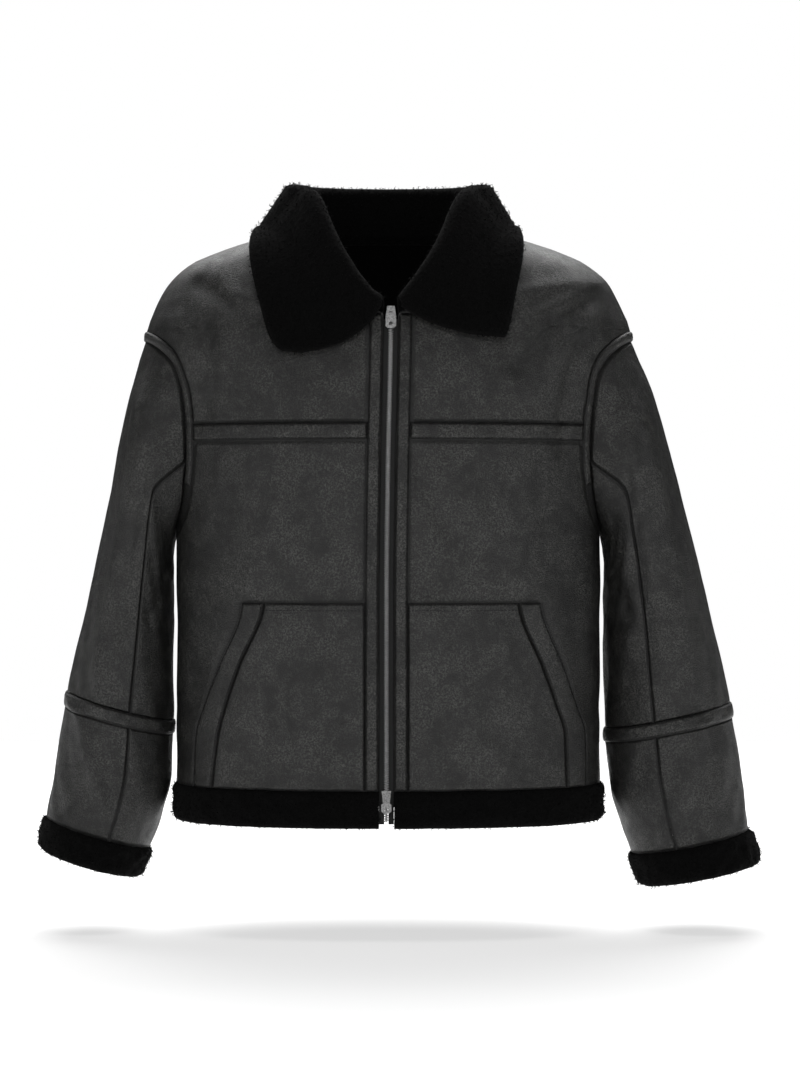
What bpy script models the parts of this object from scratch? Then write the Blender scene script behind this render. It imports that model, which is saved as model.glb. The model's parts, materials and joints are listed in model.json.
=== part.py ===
# Black leather jacket with a shearling collar, hem band and turned-up cuffs.
# It keeps the hollow form of a worn garment and is closed by a two-way zip.
# Metres, Z up, front toward -Y. The origin is at the base of the neck, in the
# middle, where the wearer's neck and shoulders carry the jacket.

import bmesh
import bpy
from math import asin, cos, degrees, exp, radians, sin
from mathutils import Vector

for old in list(bpy.data.objects):
    bpy.data.objects.remove(old, do_unlink=True)

# Sizes

HIDE = 0.0055            # wall of the shearling hide, leather and cropped wool
SEAM = 0.0003            # space between two pieces at a seam
ROUNDNESS = 0.851        # 1 gives oval rings, less gives fuller corners
LEFT = -1                # picture left, -X
RIGHT = 1

HEM_TOP = -0.607
HEM_BOTTOM = -0.648
NECK_FRONT = -0.080      # height where the fronts leave the zip
NECK_SIDE = 0.020        # height of the neck seam at the side and back
POCKET_TOP = -0.3995

ARM_MIDDLE = -0.210      # armhole: middle height and half its height
ARM_HALF = 0.106
ARM_BAND = 0.012         # width of the band round the armhole

EDGE_GAP = 0.0085        # zip middle to the edge of a front
PLACKET = 0.015          # width of the strip beside the zip
TRIM = 0.0014            # thickness of sewn-on bands and plackets
POCKET = 0.0020
WELT = 0.0032

WOOL_WALL = 0.008        # collar wall, wool included
FOLD_RADIUS = 0.0085     # middle of the wall, where the collar turns over
LEAF_CLEAR = 0.0018      # space between a collar leaf and the body
LEAF_STEPS = 6

TAPE_HALF = 0.0082
TAPE_THICK = 0.0010
CHAIN_HALF = 0.0029
CHAIN_THICK = 0.0024
CHAIN_TOP = -0.0845
CHAIN_FOOT = -0.640


def table(names, *rows):
    keys = names.split()
    return [dict(zip(keys, row)) for row in rows]


# Level rings of the body, from the hem up to the base of the neck
BODY = table(
    "height half_width front back",
    (-0.660, 0.2450, 0.1280, 0.1170),
    (-0.607, 0.2430, 0.1280, 0.1160),
    (-0.500, 0.2425, 0.1310, 0.1170),
    (-0.400, 0.2425, 0.1340, 0.1190),
    (-0.316, 0.2430, 0.1350, 0.1220),
    (-0.260, 0.2470, 0.1345, 0.1240),
    (-0.200, 0.2560, 0.1330, 0.1250),
    (-0.150, 0.2680, 0.1300, 0.1240),
    (-0.106, 0.2790, 0.1240, 0.1210),
    (-0.089, 0.2770, 0.1200, 0.1190),
    (-0.072, 0.2700, 0.1150, 0.1170),
    (-0.054, 0.2620, 0.1080, 0.1145),
    (-0.037, 0.2520, 0.1000, 0.1115),
    (-0.020, 0.2340, 0.0900, 0.1075),
    (-0.002, 0.1980, 0.0770, 0.1015),
    (0.011, 0.1590, 0.0650, 0.0950),
    (0.020, 0.1200, 0.0550, 0.0885),
    (0.026, 0.0850, 0.0460, 0.0840))

# Middle line of the zip, which wanders a little
ZIP = table(
    "height middle",
    (-0.640, -0.0018),
    (-0.400, -0.0017),
    (-0.250, 0.0000),
    (-0.106, 0.0030),
    (-0.060, 0.0033))

# Neck edge of each front above the zip
NECK = table(
    "height half_width",
    (-0.080, 0.0085),
    (-0.070, 0.0215),
    (-0.055, 0.0390),
    (-0.035, 0.0570),
    (-0.012, 0.0740),
    (0.006, 0.0875),
    (0.015, 0.0965),
    (0.020, 0.1030))

# Armhole: how far it opens from the side line, by the turn from its top
ARMHOLE = table(
    "turn spread",
    (0, 0.0),
    (14, 15.0),
    (28, 24.5),
    (43, 30.0),
    (58, 31.5),
    (85, 29.5),
    (108, 26.5),
    (137, 19.5),
    (166, 7.5),
    (180, 0.0))

# Slanted pocket welt: distance of its two edges from the middle of the jacket
POCKETS = table(
    "height left_inner left_outer right_inner right_outer",
    (-0.607, 0.1955, 0.2175, 0.1985, 0.2210),
    (-0.544, 0.1880, 0.2140, 0.1965, 0.2195),
    (-0.518, 0.1810, 0.2063, 0.1880, 0.2120),
    (-0.471, 0.1650, 0.1880, 0.1710, 0.1950),
    (-0.400, 0.1364, 0.1617, 0.1441, 0.1690),
    (-0.300, 0.1330, 0.1600, 0.1400, 0.1650),
    (-0.201, 0.1300, 0.1640, 0.1340, 0.1670))

# Sleeves: outer and inner edge seen from the front, half depth and its middle
SLEEVE_LEFT = table(
    "outer_x outer_z inner_x inner_z half_depth middle_y",
    (0.2920, -0.150, 0.2475, -0.345, 0.0830, 0.0000),
    (0.3085, -0.220, 0.2480, -0.368, 0.0850, 0.0050),
    (0.3228, -0.290, 0.2480, -0.398, 0.0840, 0.0090),
    (0.3380, -0.365, 0.2480, -0.435, 0.0820, 0.0110),
    (0.3540, -0.434, 0.2480, -0.484, 0.0790, 0.0090),
    (0.3690, -0.503, 0.2480, -0.537, 0.0750, 0.0040),
    (0.3715, -0.520, 0.2483, -0.553, 0.0740, 0.0025),
    (0.3790, -0.572, 0.2500, -0.603, 0.0700, -0.0030),
    (0.3850, -0.609, 0.2590, -0.642, 0.0670, -0.0070),
    (0.3910, -0.645, 0.2735, -0.681, 0.0640, -0.0110))
SLEEVE_RIGHT = table(
    "outer_x outer_z inner_x inner_z half_depth middle_y",
    (0.2990, -0.150, 0.2475, -0.345, 0.0830, 0.0000),
    (0.3200, -0.220, 0.2480, -0.370, 0.0860, 0.0050),
    (0.3395, -0.290, 0.2480, -0.402, 0.0860, 0.0090),
    (0.3585, -0.365, 0.2480, -0.440, 0.0850, 0.0110),
    (0.3750, -0.436, 0.2480, -0.488, 0.0820, 0.0090),
    (0.3920, -0.516, 0.2490, -0.546, 0.0770, 0.0040),
    (0.3945, -0.533, 0.2500, -0.562, 0.0760, 0.0025),
    (0.4030, -0.585, 0.2540, -0.610, 0.0720, -0.0030),
    (0.4070, -0.622, 0.2650, -0.650, 0.0690, -0.0070),
    (0.4110, -0.660, 0.2780, -0.6875, 0.0660, -0.0110))
SLEEVES = {LEFT: SLEEVE_LEFT, RIGHT: SLEEVE_RIGHT}
BAND_ROW = 5             # the sleeve band lies between this row and the next

# Foot of each turned-up cuff, in the same columns
CUFF_FOOT = {
    LEFT: table(
        "outer_x outer_z inner_x inner_z half_depth middle_y",
        (0.4010, -0.6790, 0.2830, -0.7150, 0.0660, -0.0140))[0],
    RIGHT: table(
        "outer_x outer_z inner_x inner_z half_depth middle_y",
        (0.4275, -0.6960, 0.2850, -0.7250, 0.0680, -0.0140))[0]}
CUFF_PROUD = 0.0045      # the cuff stands out from the sleeve by this much

# Collar, from the front end (0) by the side (8) to the back middle (16):
# height of the fold above the neck seam, and lean of the stand inward
STAND = table(
    "station rise lean",
    (0, 0.0140, 0.15),
    (2, 0.0230, 0.25),
    (4, 0.0310, 0.35),
    (6, 0.0470, 0.40),
    (8, 0.0600, 0.35),
    (12, 0.0650, 0.15),
    (16, 0.0655, 0.05))

# Free edge of each collar leaf, and how far the leaf's own line sags
LEAF_LEFT = table(
    "station x y z sag",
    (0, 0.0980, -0.138, -0.1220, 0.014),
    (1, 0.1175, -0.132, -0.1210, 0.007),
    (2, 0.1300, -0.122, -0.1070, 0.002),
    (4, 0.1400, -0.100, -0.0720, 0.000),
    (6, 0.1490, -0.065, -0.0280, 0.000),
    (8, 0.1530, -0.015, 0.0140, 0.000),
    (10, 0.1470, 0.045, 0.0160, 0.000),
    (12, 0.1170, 0.092, -0.0020, 0.000),
    (14, 0.0620, 0.121, -0.0130, 0.000),
    (16, 0.0000, 0.128, -0.0160, 0.000))
LEAF_RIGHT = table(
    "station x y z sag",
    (0, 0.1150, -0.136, -0.1050, 0.008),
    (1, 0.1290, -0.131, -0.1045, 0.004),
    (2, 0.1345, -0.120, -0.0900, 0.001),
    (4, 0.1400, -0.098, -0.0600, 0.000),
    (6, 0.1460, -0.065, -0.0240, 0.000),
    (8, 0.1490, -0.015, 0.0140, 0.000),
    (10, 0.1430, 0.045, 0.0160, 0.000),
    (12, 0.1150, 0.092, -0.0020, 0.000),
    (14, 0.0620, 0.121, -0.0130, 0.000),
    (16, 0.0000, 0.128, -0.0160, 0.000))
LEAVES = {LEFT: LEAF_LEFT, RIGHT: LEAF_RIGHT}

# Largest folds of the body, as ridges (+) and troughs (-) along short lines
FOLDS = table(
    "side face x_a z_a x_b z_b reach push",
    (LEFT, "front", 0.205, -0.062, 0.165, -0.080, 0.016, -0.0040),
    (LEFT, "front", 0.225, -0.110, 0.205, -0.165, 0.014, 0.0035),
    (LEFT, "front", 0.140, -0.250, 0.140, -0.360, 0.020, 0.0025),
    (LEFT, "front", 0.100, -0.430, 0.100, -0.590, 0.018, 0.0030),
    (RIGHT, "front", 0.215, -0.060, 0.150, -0.130, 0.016, -0.0045),
    (RIGHT, "front", 0.205, -0.110, 0.165, -0.165, 0.016, 0.0035),
    (RIGHT, "front", 0.045, -0.245, 0.085, -0.325, 0.018, -0.0030),
    (RIGHT, "front", 0.045, -0.420, 0.115, -0.560, 0.020, 0.0040),
    (LEFT, "back", 0.190, -0.080, 0.110, -0.150, 0.018, -0.0040),
    (RIGHT, "back", 0.200, -0.090, 0.120, -0.150, 0.018, -0.0040),
    (LEFT, "back", 0.120, -0.400, 0.100, -0.560, 0.022, 0.0035),
    (RIGHT, "back", 0.090, -0.380, 0.120, -0.540, 0.022, 0.0035))

# Rows of the grids
ARM_TURNS = (0, 26, 43, 58, 72, 85.13, 94.87, 108, 122, 137, 154, 180)
YOKE_TURNS = 6           # the first turns belong to the yoke
RIDGE_ROWS = (0.020, 0.015, 0.006, -0.012, -0.035, -0.055, -0.070, -0.080)
SIDE_ROWS = (-0.345, -0.372, POCKET_TOP, -0.430, -0.465, -0.500, -0.540, -0.575, HEM_TOP)
COLUMNS = 8
BACK_COLUMNS = 8


# Reading the tables, with smooth curves that never overshoot a row

def read(rows, by, want, at):
    if at <= rows[0][by]:
        return rows[0][want]
    if at >= rows[-1][by]:
        return rows[-1][want]
    low = 0
    while rows[low + 1][by] < at:
        low += 1

    def secant(k):
        return (rows[k + 1][want] - rows[k][want]) / (rows[k + 1][by] - rows[k][by])

    def slope(k):
        if k == 0:
            return secant(0)
        if k == len(rows) - 1:
            return secant(k - 1)
        before = secant(k - 1)
        after = secant(k)
        if before * after <= 0:
            return 0.0
        return 2 * before * after / (before + after)

    span = rows[low + 1][by] - rows[low][by]
    t = (at - rows[low][by]) / span
    start = rows[low][want]
    end = rows[low + 1][want]
    leave = slope(low) * span
    arrive = slope(low + 1) * span
    return (start * (2 * t ** 3 - 3 * t ** 2 + 1) + end * (3 * t ** 2 - 2 * t ** 3)
            + leave * (t ** 3 - 2 * t ** 2 + t) + arrive * (t ** 3 - t ** 2))


def power(value):
    return max(value, 0.0) ** ROUNDNESS


# The body's outer face: angle 0 is the front middle, 90 the side, 180 the back

def fold_push(side, face, across, height):
    total = 0.0
    for fold in FOLDS:
        if fold["side"] != side or fold["face"] != face:
            continue
        run_x = fold["x_b"] - fold["x_a"]
        run_z = fold["z_b"] - fold["z_a"]
        length = run_x ** 2 + run_z ** 2
        t = ((across - fold["x_a"]) * run_x + (height - fold["z_a"]) * run_z) / length
        t = min(max(t, 0.0), 1.0)
        off_x = across - fold["x_a"] - t * run_x
        off_z = height - fold["z_a"] - t * run_z
        total += fold["push"] * exp(-(off_x ** 2 + off_z ** 2) / fold["reach"] ** 2)
    return total


def skin(side, angle, height):
    turn = radians(angle)
    half_width = read(BODY, "height", "half_width", height)
    across = half_width * power(sin(turn))
    if angle <= 90:
        face = "front"
        depth = -read(BODY, "height", "front", height) * power(cos(turn))
    else:
        face = "back"
        depth = read(BODY, "height", "back", height) * power(-cos(turn))
    push = fold_push(side, face, across, height)
    away = Vector((across * 0.3, depth, 0.0)).normalized()
    return Vector((side * (across + push * away.x), depth + push * away.y, height))


def skin_steps(side, angle, height):
    by_angle = (skin(side, min(angle + 1.0, 180.0), height)
                - skin(side, max(angle - 1.0, 0.0), height))
    by_angle /= min(angle + 1.0, 180.0) - max(angle - 1.0, 0.0)
    if angle >= 179.5 or angle <= 0.5:
        by_angle = Vector((by_angle.x, 0.0, 0.0))
    by_height = (skin(side, angle, height + 0.002) - skin(side, angle, height - 0.002)) / 0.004
    return by_angle, by_height


def skin_normal(side, angle, height):
    by_angle, by_height = skin_steps(side, angle, height)
    return by_angle.cross(by_height).normalized() * side


def wall_normal(side, angle, height):
    """Like the normal of the skin, but level at the hem seam, so that both rims meet flat."""
    normal = skin_normal(side, angle, height)
    if height <= HEM_TOP:
        normal.z = 0.0
        normal.normalize()
    return normal


def angle_at(across, height):
    half_width = read(BODY, "height", "half_width", height)
    return degrees(asin(min(across / half_width, 1.0) ** (1 / ROUNDNESS)))


def slide(side, angle, height, step):
    target = skin(side, angle, height) + step
    for _ in range(4):
        by_angle, by_height = skin_steps(side, angle, height)
        rest = target - skin(side, angle, height)
        aa = by_angle.dot(by_angle)
        ah = by_angle.dot(by_height)
        hh = by_height.dot(by_height)
        ra = rest.dot(by_angle)
        rh = rest.dot(by_height)
        whole = aa * hh - ah * ah
        angle += (ra * hh - rh * ah) / whole
        height += (rh * aa - ra * ah) / whole
    return angle, height


# Sheets of cloth: two faces with the same cells, closed by a rim

class Sheet:
    def __init__(self):
        self.outer = []
        self.inner = []
        self.cells = []

    def point(self, outer, inner):
        self.outer.append(outer)
        self.inner.append(inner)
        return len(self.outer) - 1

    def lattice(self, rows):
        for low, high in zip(rows, rows[1:]):
            for k in range(len(low) - 1):
                self.cells.append((low[k], low[k + 1], high[k + 1], high[k]))

    def solid(self, name, slot):
        count = len(self.outer)
        faces = []
        rim = {}
        for a, b, c, d in self.cells:
            for corner in ((a, b, c), (a, c, d)):
                faces.append(corner)
                faces.append(tuple(count + k for k in reversed(corner)))
            for edge in ((a, b), (b, c), (c, d), (d, a)):
                key = tuple(sorted(edge))
                if key in rim:
                    del rim[key]
                else:
                    rim[key] = edge
        for a, b in rim.values():
            if (self.outer[a] - self.inner[b]).length < (self.outer[b] - self.inner[a]).length:
                a, b = b, a
            faces.append((b, a, count + a))
            faces.append((b, count + a, count + b))
        make_object(name, self.outer + self.inner, faces, slot)


def make_object(name, points, faces, slot):
    mesh = bpy.data.meshes.new(name)
    mesh.from_pydata([tuple(point) for point in points], [], faces)
    work = bmesh.new()
    work.from_mesh(mesh)
    bmesh.ops.recalc_face_normals(work, faces=work.faces[:])
    work.to_mesh(mesh)
    work.free()
    mesh.materials.append(material(slot))
    item = bpy.data.objects.new(name, mesh)
    bpy.context.scene.collection.objects.link(item)


COLOURS = table(
    "slot red green blue metal rough",
    ("leather", 0.012, 0.012, 0.013, 0.0, 0.38),
    ("leather_band", 0.016, 0.016, 0.016, 0.0, 0.45),
    ("wool", 0.006, 0.006, 0.006, 0.0, 0.95),
    ("zip_tape", 0.010, 0.010, 0.010, 0.0, 0.80),
    ("zip_metal", 0.42, 0.42, 0.43, 1.0, 0.32))


def material(slot):
    if slot in bpy.data.materials:
        return bpy.data.materials[slot]
    row = [entry for entry in COLOURS if entry["slot"] == slot][0]
    made = bpy.data.materials.new(slot)
    made.use_nodes = True
    shader = made.node_tree.nodes["Principled BSDF"]
    shader.inputs["Base Color"].default_value = (row["red"], row["green"], row["blue"], 1.0)
    shader.inputs["Metallic"].default_value = row["metal"]
    shader.inputs["Roughness"].default_value = row["rough"]
    return made


def toward(start, end, distance):
    return (end - start).normalized() * distance


def side_name(side):
    return "left" if side == LEFT else "right"


# Armhole seam: its points, the shared direction of both walls, and the step across

def arm_place(turn):
    plain = turn if turn <= 180 else 360 - turn
    spread = read(ARMHOLE, "turn", "spread", plain)
    height = ARM_MIDDLE + ARM_HALF * cos(radians(plain))
    return (90 - spread if turn <= 180 else 90 + spread), height


def sleeve_ring(row, side, turn):
    outer = Vector((side * row["outer_x"], row["middle_y"], row["outer_z"]))
    inner = Vector((side * row["inner_x"], row["middle_y"], row["inner_z"]))
    middle = (outer + inner) / 2
    spoke = (outer - inner) / 2
    lean = Vector((0.0, -row["half_depth"], 0.0))
    return middle + spoke * cos(radians(turn)) + lean * sin(radians(turn))


def arm_seam(side, turn):
    angle, height = arm_place(turn)
    point = skin(side, angle, height)
    ahead = skin(side, *arm_place((turn + 2) % 360))
    behind = skin(side, *arm_place((turn - 2) % 360))
    along = (ahead - behind).normalized()
    hub = Vector((side * 0.252, 0.0, ARM_MIDDLE))
    body_normal = skin_normal(side, angle, height)
    down = (sleeve_ring(SLEEVES[side][0], side, turn) - point).normalized()
    sleeve_normal = along.cross(down).normalized()
    if sleeve_normal.dot(point - hub) < 0:
        sleeve_normal = -sleeve_normal
    wall = -(body_normal + sleeve_normal).normalized()
    across = wall.cross(along).normalized()
    if across.dot(down) < 0:
        across = -across
    away = body_normal.cross(along).normalized()
    if away.dot(point - hub) < 0:
        away = -away
    deep = HIDE * min(1.3, 1 / max(-wall.dot(body_normal), 0.1))
    band_angle, band_height = slide(side, angle, height, away * ARM_BAND)
    if turn in (0, 180):
        band_angle = 90.0
    return {"point": point, "wall": wall * deep, "across": across,
            "band_angle": band_angle, "band_height": band_height,
            "body_normal": body_normal}


BACK_TURNS = [360 - turn for turn in reversed(ARM_TURNS[1:-1])]
ALL_TURNS = list(ARM_TURNS) + BACK_TURNS
ARM = {side: {turn: arm_seam(side, turn) for turn in ALL_TURNS} for side in (LEFT, RIGHT)}


# Neck seam: stations from the front end by the side to the back middle

def neck_stations(side):
    places = [(angle_at(row["half_width"] + (side * read(ZIP, "height", "middle", row["height"])
                                             if row["height"] == NECK_FRONT else 0.0),
                        row["height"]), row["height"]) for row in NECK]
    places.append((90.0, NECK_SIDE))
    places += [(90 + 90 * k / BACK_COLUMNS, NECK_SIDE) for k in range(1, BACK_COLUMNS + 1)]
    points = [skin(side, angle, height) for angle, height in places]
    stations = []
    for k, (angle, height) in enumerate(places):
        ahead = points[min(k + 1, len(points) - 1)]
        behind = points[max(k - 1, 0)]
        along = (ahead - behind).normalized()
        if k == len(points) - 1:
            along = Vector((-side, 0.0, 0.0))
        point = points[k]
        inward = Vector((-point.x, -0.010 - point.y, 0.0)).normalized()
        lean = read(STAND, "station", "lean", k)
        rise = (Vector((0.0, 0.0, 1.0)) + inward * lean).normalized()
        rise = (rise - along * rise.dot(along) * min(k / 6, 1.0)).normalized()
        outward = along.cross(rise).normalized()
        if outward.dot(inward) > 0:
            outward = -outward
        normal = skin_normal(side, angle, height)
        wall = -(normal + outward).normalized()
        across = wall.cross(along).normalized()
        if across.dot(rise) < 0:
            across = -across
        deep = HIDE * min(1.25, 1 / max(-wall.dot(normal), 0.1))
        stations.append({"point": point, "wall": wall * deep, "across": across,
                         "rise": rise, "outward": outward})
    return stations


NECK_SEAM = {side: neck_stations(side) for side in (LEFT, RIGHT)}
SIDE_STATION = len(NECK)


# Body panels

def front_angles(side, height, end, lower):
    gap = EDGE_GAP + side * read(ZIP, "height", "middle", height)
    if height > NECK_FRONT:
        gap = read(NECK, "height", "half_width", height)
    first = angle_at(gap, height)
    second = angle_at(gap + PLACKET, height)
    if height >= NECK_SIDE:
        second = first + (end - first) / COLUMNS
    if not lower:
        step = (end - second) / (COLUMNS - 1)
        return [first] + [second + step * k for k in range(COLUMNS)]
    name = side_name(side)
    inner = angle_at(read(POCKETS, "height", name + "_inner", height), height)
    outer = angle_at(read(POCKETS, "height", name + "_outer", height), height)
    step = (inner - second) / 4
    return ([first] + [second + step * k for k in range(4)]
            + [inner, outer, (outer + end) / 2, end])


def arm_rows(side, face, turns):
    rows = []
    for turn in turns:
        key = turn if face == "front" or turn in (0, 180) else 360 - turn
        seam = ARM[side][key]
        rows.append({"height": seam["band_height"], "end": seam["band_angle"], "seam": seam,
                     "turn": turn})
    return rows


def plain_rows(heights):
    return [{"height": height, "end": 90.0, "seam": None, "turn": None} for height in heights]


def grid(side, rows, lower):
    faces = []
    for row in rows:
        line = []
        for angle in front_angles(side, row["height"], row["end"], lower):
            point = skin(side, angle, row["height"])
            line.append((point, wall_normal(side, angle, row["height"])))
        faces.append(line)
    return faces


def back_grid(rows_left, rows_right):
    faces = []
    for left, right in zip(rows_left, rows_right):
        line = []
        for k in range(BACK_COLUMNS + 1):
            angle = left["end"] + (180 - left["end"]) * k / BACK_COLUMNS
            line.append((skin(LEFT, angle, left["height"]),
                         wall_normal(LEFT, angle, left["height"])))
        for k in reversed(range(BACK_COLUMNS)):
            angle = right["end"] + (180 - right["end"]) * k / BACK_COLUMNS
            line.append((skin(RIGHT, angle, right["height"]),
                         wall_normal(RIGHT, angle, right["height"])))
        faces.append(line)
    return faces


def pull_in(faces, edges, amount=SEAM / 2):
    """Points of a grid with the named edges moved into the piece by half a seam."""
    rows = len(faces)
    cols = len(faces[0])
    moved = []
    for r in range(rows):
        line = []
        for c in range(cols):
            point = faces[r][c][0].copy()
            if "top" in edges and r == 0:
                point += toward(faces[0][c][0], faces[1][c][0], amount)
            if "bottom" in edges and r == rows - 1:
                point += toward(faces[r][c][0], faces[r - 1][c][0], amount)
            if "start" in edges and c == 0:
                point += toward(faces[r][0][0], faces[r][1][0], amount)
            if "end" in edges and c == cols - 1:
                point += toward(faces[r][c][0], faces[r][c - 1][0], amount)
            line.append(point)
        moved.append(line)
    return moved


def arm_strip(sheet, rows, ids, face, half):
    """Cells between the armhole band's line and the armhole seam."""
    seam_rows = [k for k, row in enumerate(rows) if row["seam"]]
    edge = []
    for k in seam_rows:
        seam = rows[k]["seam"]
        point = seam["point"] - seam["across"] * half
        if rows[k]["turn"] in (0, 180):
            other = seam_rows[1] if rows[k]["turn"] == 0 else seam_rows[-2]
            point += toward(seam["point"], rows[other]["seam"]["point"], half)
        if rows[k].get("lift"):
            point += Vector((0.0, 0.0, rows[k]["lift"]))
        edge.append(sheet.point(point, point + seam["wall"]))
    column = [ids[k][-1] if face != "back_left" else ids[k][0] for k in seam_rows]
    sheet.lattice([column, edge] if face == "front" else [edge, column])


def front_panel(side, lower):
    half = SEAM / 2
    if lower:
        rows = arm_rows(side, "front", ARM_TURNS[YOKE_TURNS - 1:]) + plain_rows(SIDE_ROWS)
        rows[0]["lift"] = -half
    else:
        rows = plain_rows(RIDGE_ROWS) + arm_rows(side, "front", ARM_TURNS[:YOKE_TURNS])
        rows[-1]["lift"] = half
    faces = grid(side, rows, lower)
    edges = ("top", "bottom") if lower else ("bottom",)
    points = pull_in(faces, edges)
    for r, row in enumerate(rows):
        if row["seam"] is None or row["turn"] in (0, 180):
            points[r][-1] += toward(faces[r][-1][0], faces[r][-2][0], half)
    sheet = Sheet()
    ids = []
    for r, row in enumerate(rows):
        line = []
        for c in range(COLUMNS + 1):
            point = points[r][c]
            wall = -faces[r][c][1] * HIDE
            if not lower and row["height"] >= NECK_FRONT and row["seam"] is None:
                station = len(RIDGE_ROWS) - 1 - r
                here = NECK_SEAM[side][station]
                beside = NECK_SEAM[side][SIDE_STATION]
                if c == 0:
                    point = point - here["across"] * half
                    wall = here["wall"]
                elif r == 0:
                    share = c / COLUMNS
                    point = point - here["across"].lerp(beside["across"], share) * half
                    wall = here["wall"].lerp(beside["wall"], share)
            line.append(sheet.point(point, point + wall))
        ids.append(line)
    sheet.lattice(ids)
    arm_strip(sheet, rows, ids, "front", half)
    kind = "front_" if lower else "front_yoke_"
    sheet.solid(kind + side_name(side), "leather")
    return faces


def back_panel():
    half = SEAM / 2
    rows = {}
    for side in (LEFT, RIGHT):
        rows[side] = (plain_rows(RIDGE_ROWS) + arm_rows(side, "back", ARM_TURNS)
                      + plain_rows(SIDE_ROWS))
    faces = back_grid(rows[LEFT], rows[RIGHT])
    points = pull_in(faces, ("bottom",))
    last = len(faces[0]) - 1
    for r, row in enumerate(rows[LEFT]):
        if row["seam"] is None or row["turn"] in (0, 180):
            points[r][0] += toward(faces[r][0][0], faces[r][1][0], half)
            points[r][last] += toward(faces[r][last][0], faces[r][last - 1][0], half)
    sheet = Sheet()
    ids = []
    for r in range(len(faces)):
        line = []
        for c in range(last + 1):
            point = points[r][c]
            wall = -faces[r][c][1] * HIDE
            if r == 0:
                side = LEFT if c <= BACK_COLUMNS else RIGHT
                station = SIDE_STATION + (c if c <= BACK_COLUMNS else last - c)
                here = NECK_SEAM[side][station]
                point = point - here["across"] * half
                wall = here["wall"]
            line.append(sheet.point(point, point + wall))
        ids.append(line)
    sheet.lattice(ids)
    arm_strip(sheet, rows[LEFT], ids, "back_left", half)
    arm_strip(sheet, rows[RIGHT], ids, "back_right", half)
    sheet.solid("back", "leather")


# Strips and patches that lie on a panel, made from the panel's own points

def overlay(name, slot, faces, thick, edges, extra=None):
    moved = pull_in(faces, edges)
    if extra:
        moved = pull_in([[(p, n[1]) for p, n in zip(line, face)]
                         for line, face in zip(moved, faces)], extra[0], extra[1])
    sheet = Sheet()
    ids = []
    for line, face in zip(moved, faces):
        ids.append([sheet.point(p + n[1] * (SEAM + thick), p + n[1] * SEAM)
                    for p, n in zip(line, face)])
    sheet.lattice(ids)
    sheet.solid(name, slot)


def body_trims(side, yoke_faces, lower_faces):
    name = side_name(side)
    rim = ("top", "bottom", "start", "end")
    strip = [line[0:2] for line in yoke_faces[len(RIDGE_ROWS) - 1:-1]]
    strip += [line[0:2] for line in lower_faces]
    overlay("placket_" + name, "leather", strip, TRIM, rim, (("start", "top"), 0.0007))
    band = [line[1:] for line in lower_faces[0:2]]
    overlay("yoke_band_" + name, "leather_band", band, TRIM, rim)
    first = len(ARM_TURNS) - YOKE_TURNS + 1 + SIDE_ROWS.index(POCKET_TOP)
    patch = [line[1:6] for line in lower_faces[first:]]
    overlay("pocket_" + name, "leather", patch, POCKET, rim)
    welt = [line[5:7] for line in lower_faces[first:]]
    overlay("pocket_welt_" + name, "leather", welt, WELT, rim)

    reach = [turn for turn in ARM_TURNS if turn <= 122]
    turns = [360 - turn for turn in reversed(reach[1:])] + reach
    lines = []
    for turn in turns:
        seam = ARM[side][turn]
        inner = skin(side, seam["band_angle"], seam["band_height"])
        normal = skin_normal(side, seam["band_angle"], seam["band_height"])
        lines.append([(inner, normal), (seam["point"], seam["body_normal"])])
    overlay("armhole_band_" + name, "leather_band", lines, TRIM, rim, (("end",), 0.0010))


# Sleeves

def sleeve_lines(side):
    lines = [[ARM[side][turn]["point"] for turn in ALL_TURNS]]
    for row in SLEEVES[side]:
        lines.append([sleeve_ring(row, side, turn) for turn in ALL_TURNS])
    return lines


def ring_normals(lines):
    rows = len(lines)
    count = len(lines[0])
    result = []
    for r in range(rows):
        centre = sum(lines[r], Vector()) / count
        line = []
        for c in range(count):
            along = lines[min(r + 1, rows - 1)][c] - lines[max(r - 1, 0)][c]
            around = lines[r][(c + 1) % count] - lines[r][c - 1]
            normal = around.cross(along).normalized()
            if normal.dot(lines[r][c] - centre) < 0:
                normal = -normal
            line.append(normal)
        result.append(line)
    return result


def sleeve_piece(name, side, lines, normals, first, last, start, count):
    """One panel of a sleeve: rows first to last, a count of columns from start."""
    around = len(ALL_TURNS)
    columns = [(start + k) % around for k in range(count + 1)]
    faces = [[(lines[r][c], normals[r][c]) for c in columns] for r in range(first, last + 1)]
    edges = ["start", "end", "bottom"]
    if first > 0:
        edges.append("top")
    points = pull_in(faces, edges)
    sheet = Sheet()
    ids = []
    for r, line in enumerate(points):
        ids.append([])
        for k, point in enumerate(line):
            wall = -faces[r][k][1] * HIDE
            if first == 0 and r == 0:
                seam = ARM[side][ALL_TURNS[columns[k]]]
                point = point + seam["across"] * SEAM / 2
                wall = seam["wall"]
            ids[-1].append(sheet.point(point, point + wall))
    sheet.lattice(ids)
    sheet.solid(name, "leather")


def ring_solid(name, slot, outer_lines, inner_lines):
    sheet = Sheet()
    ids = []
    for outer, inner in zip(outer_lines, inner_lines):
        line = [sheet.point(a, b) for a, b in zip(outer, inner)]
        ids.append(line + [line[0]])
    sheet.lattice(ids)
    sheet.solid(name, slot)


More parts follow.
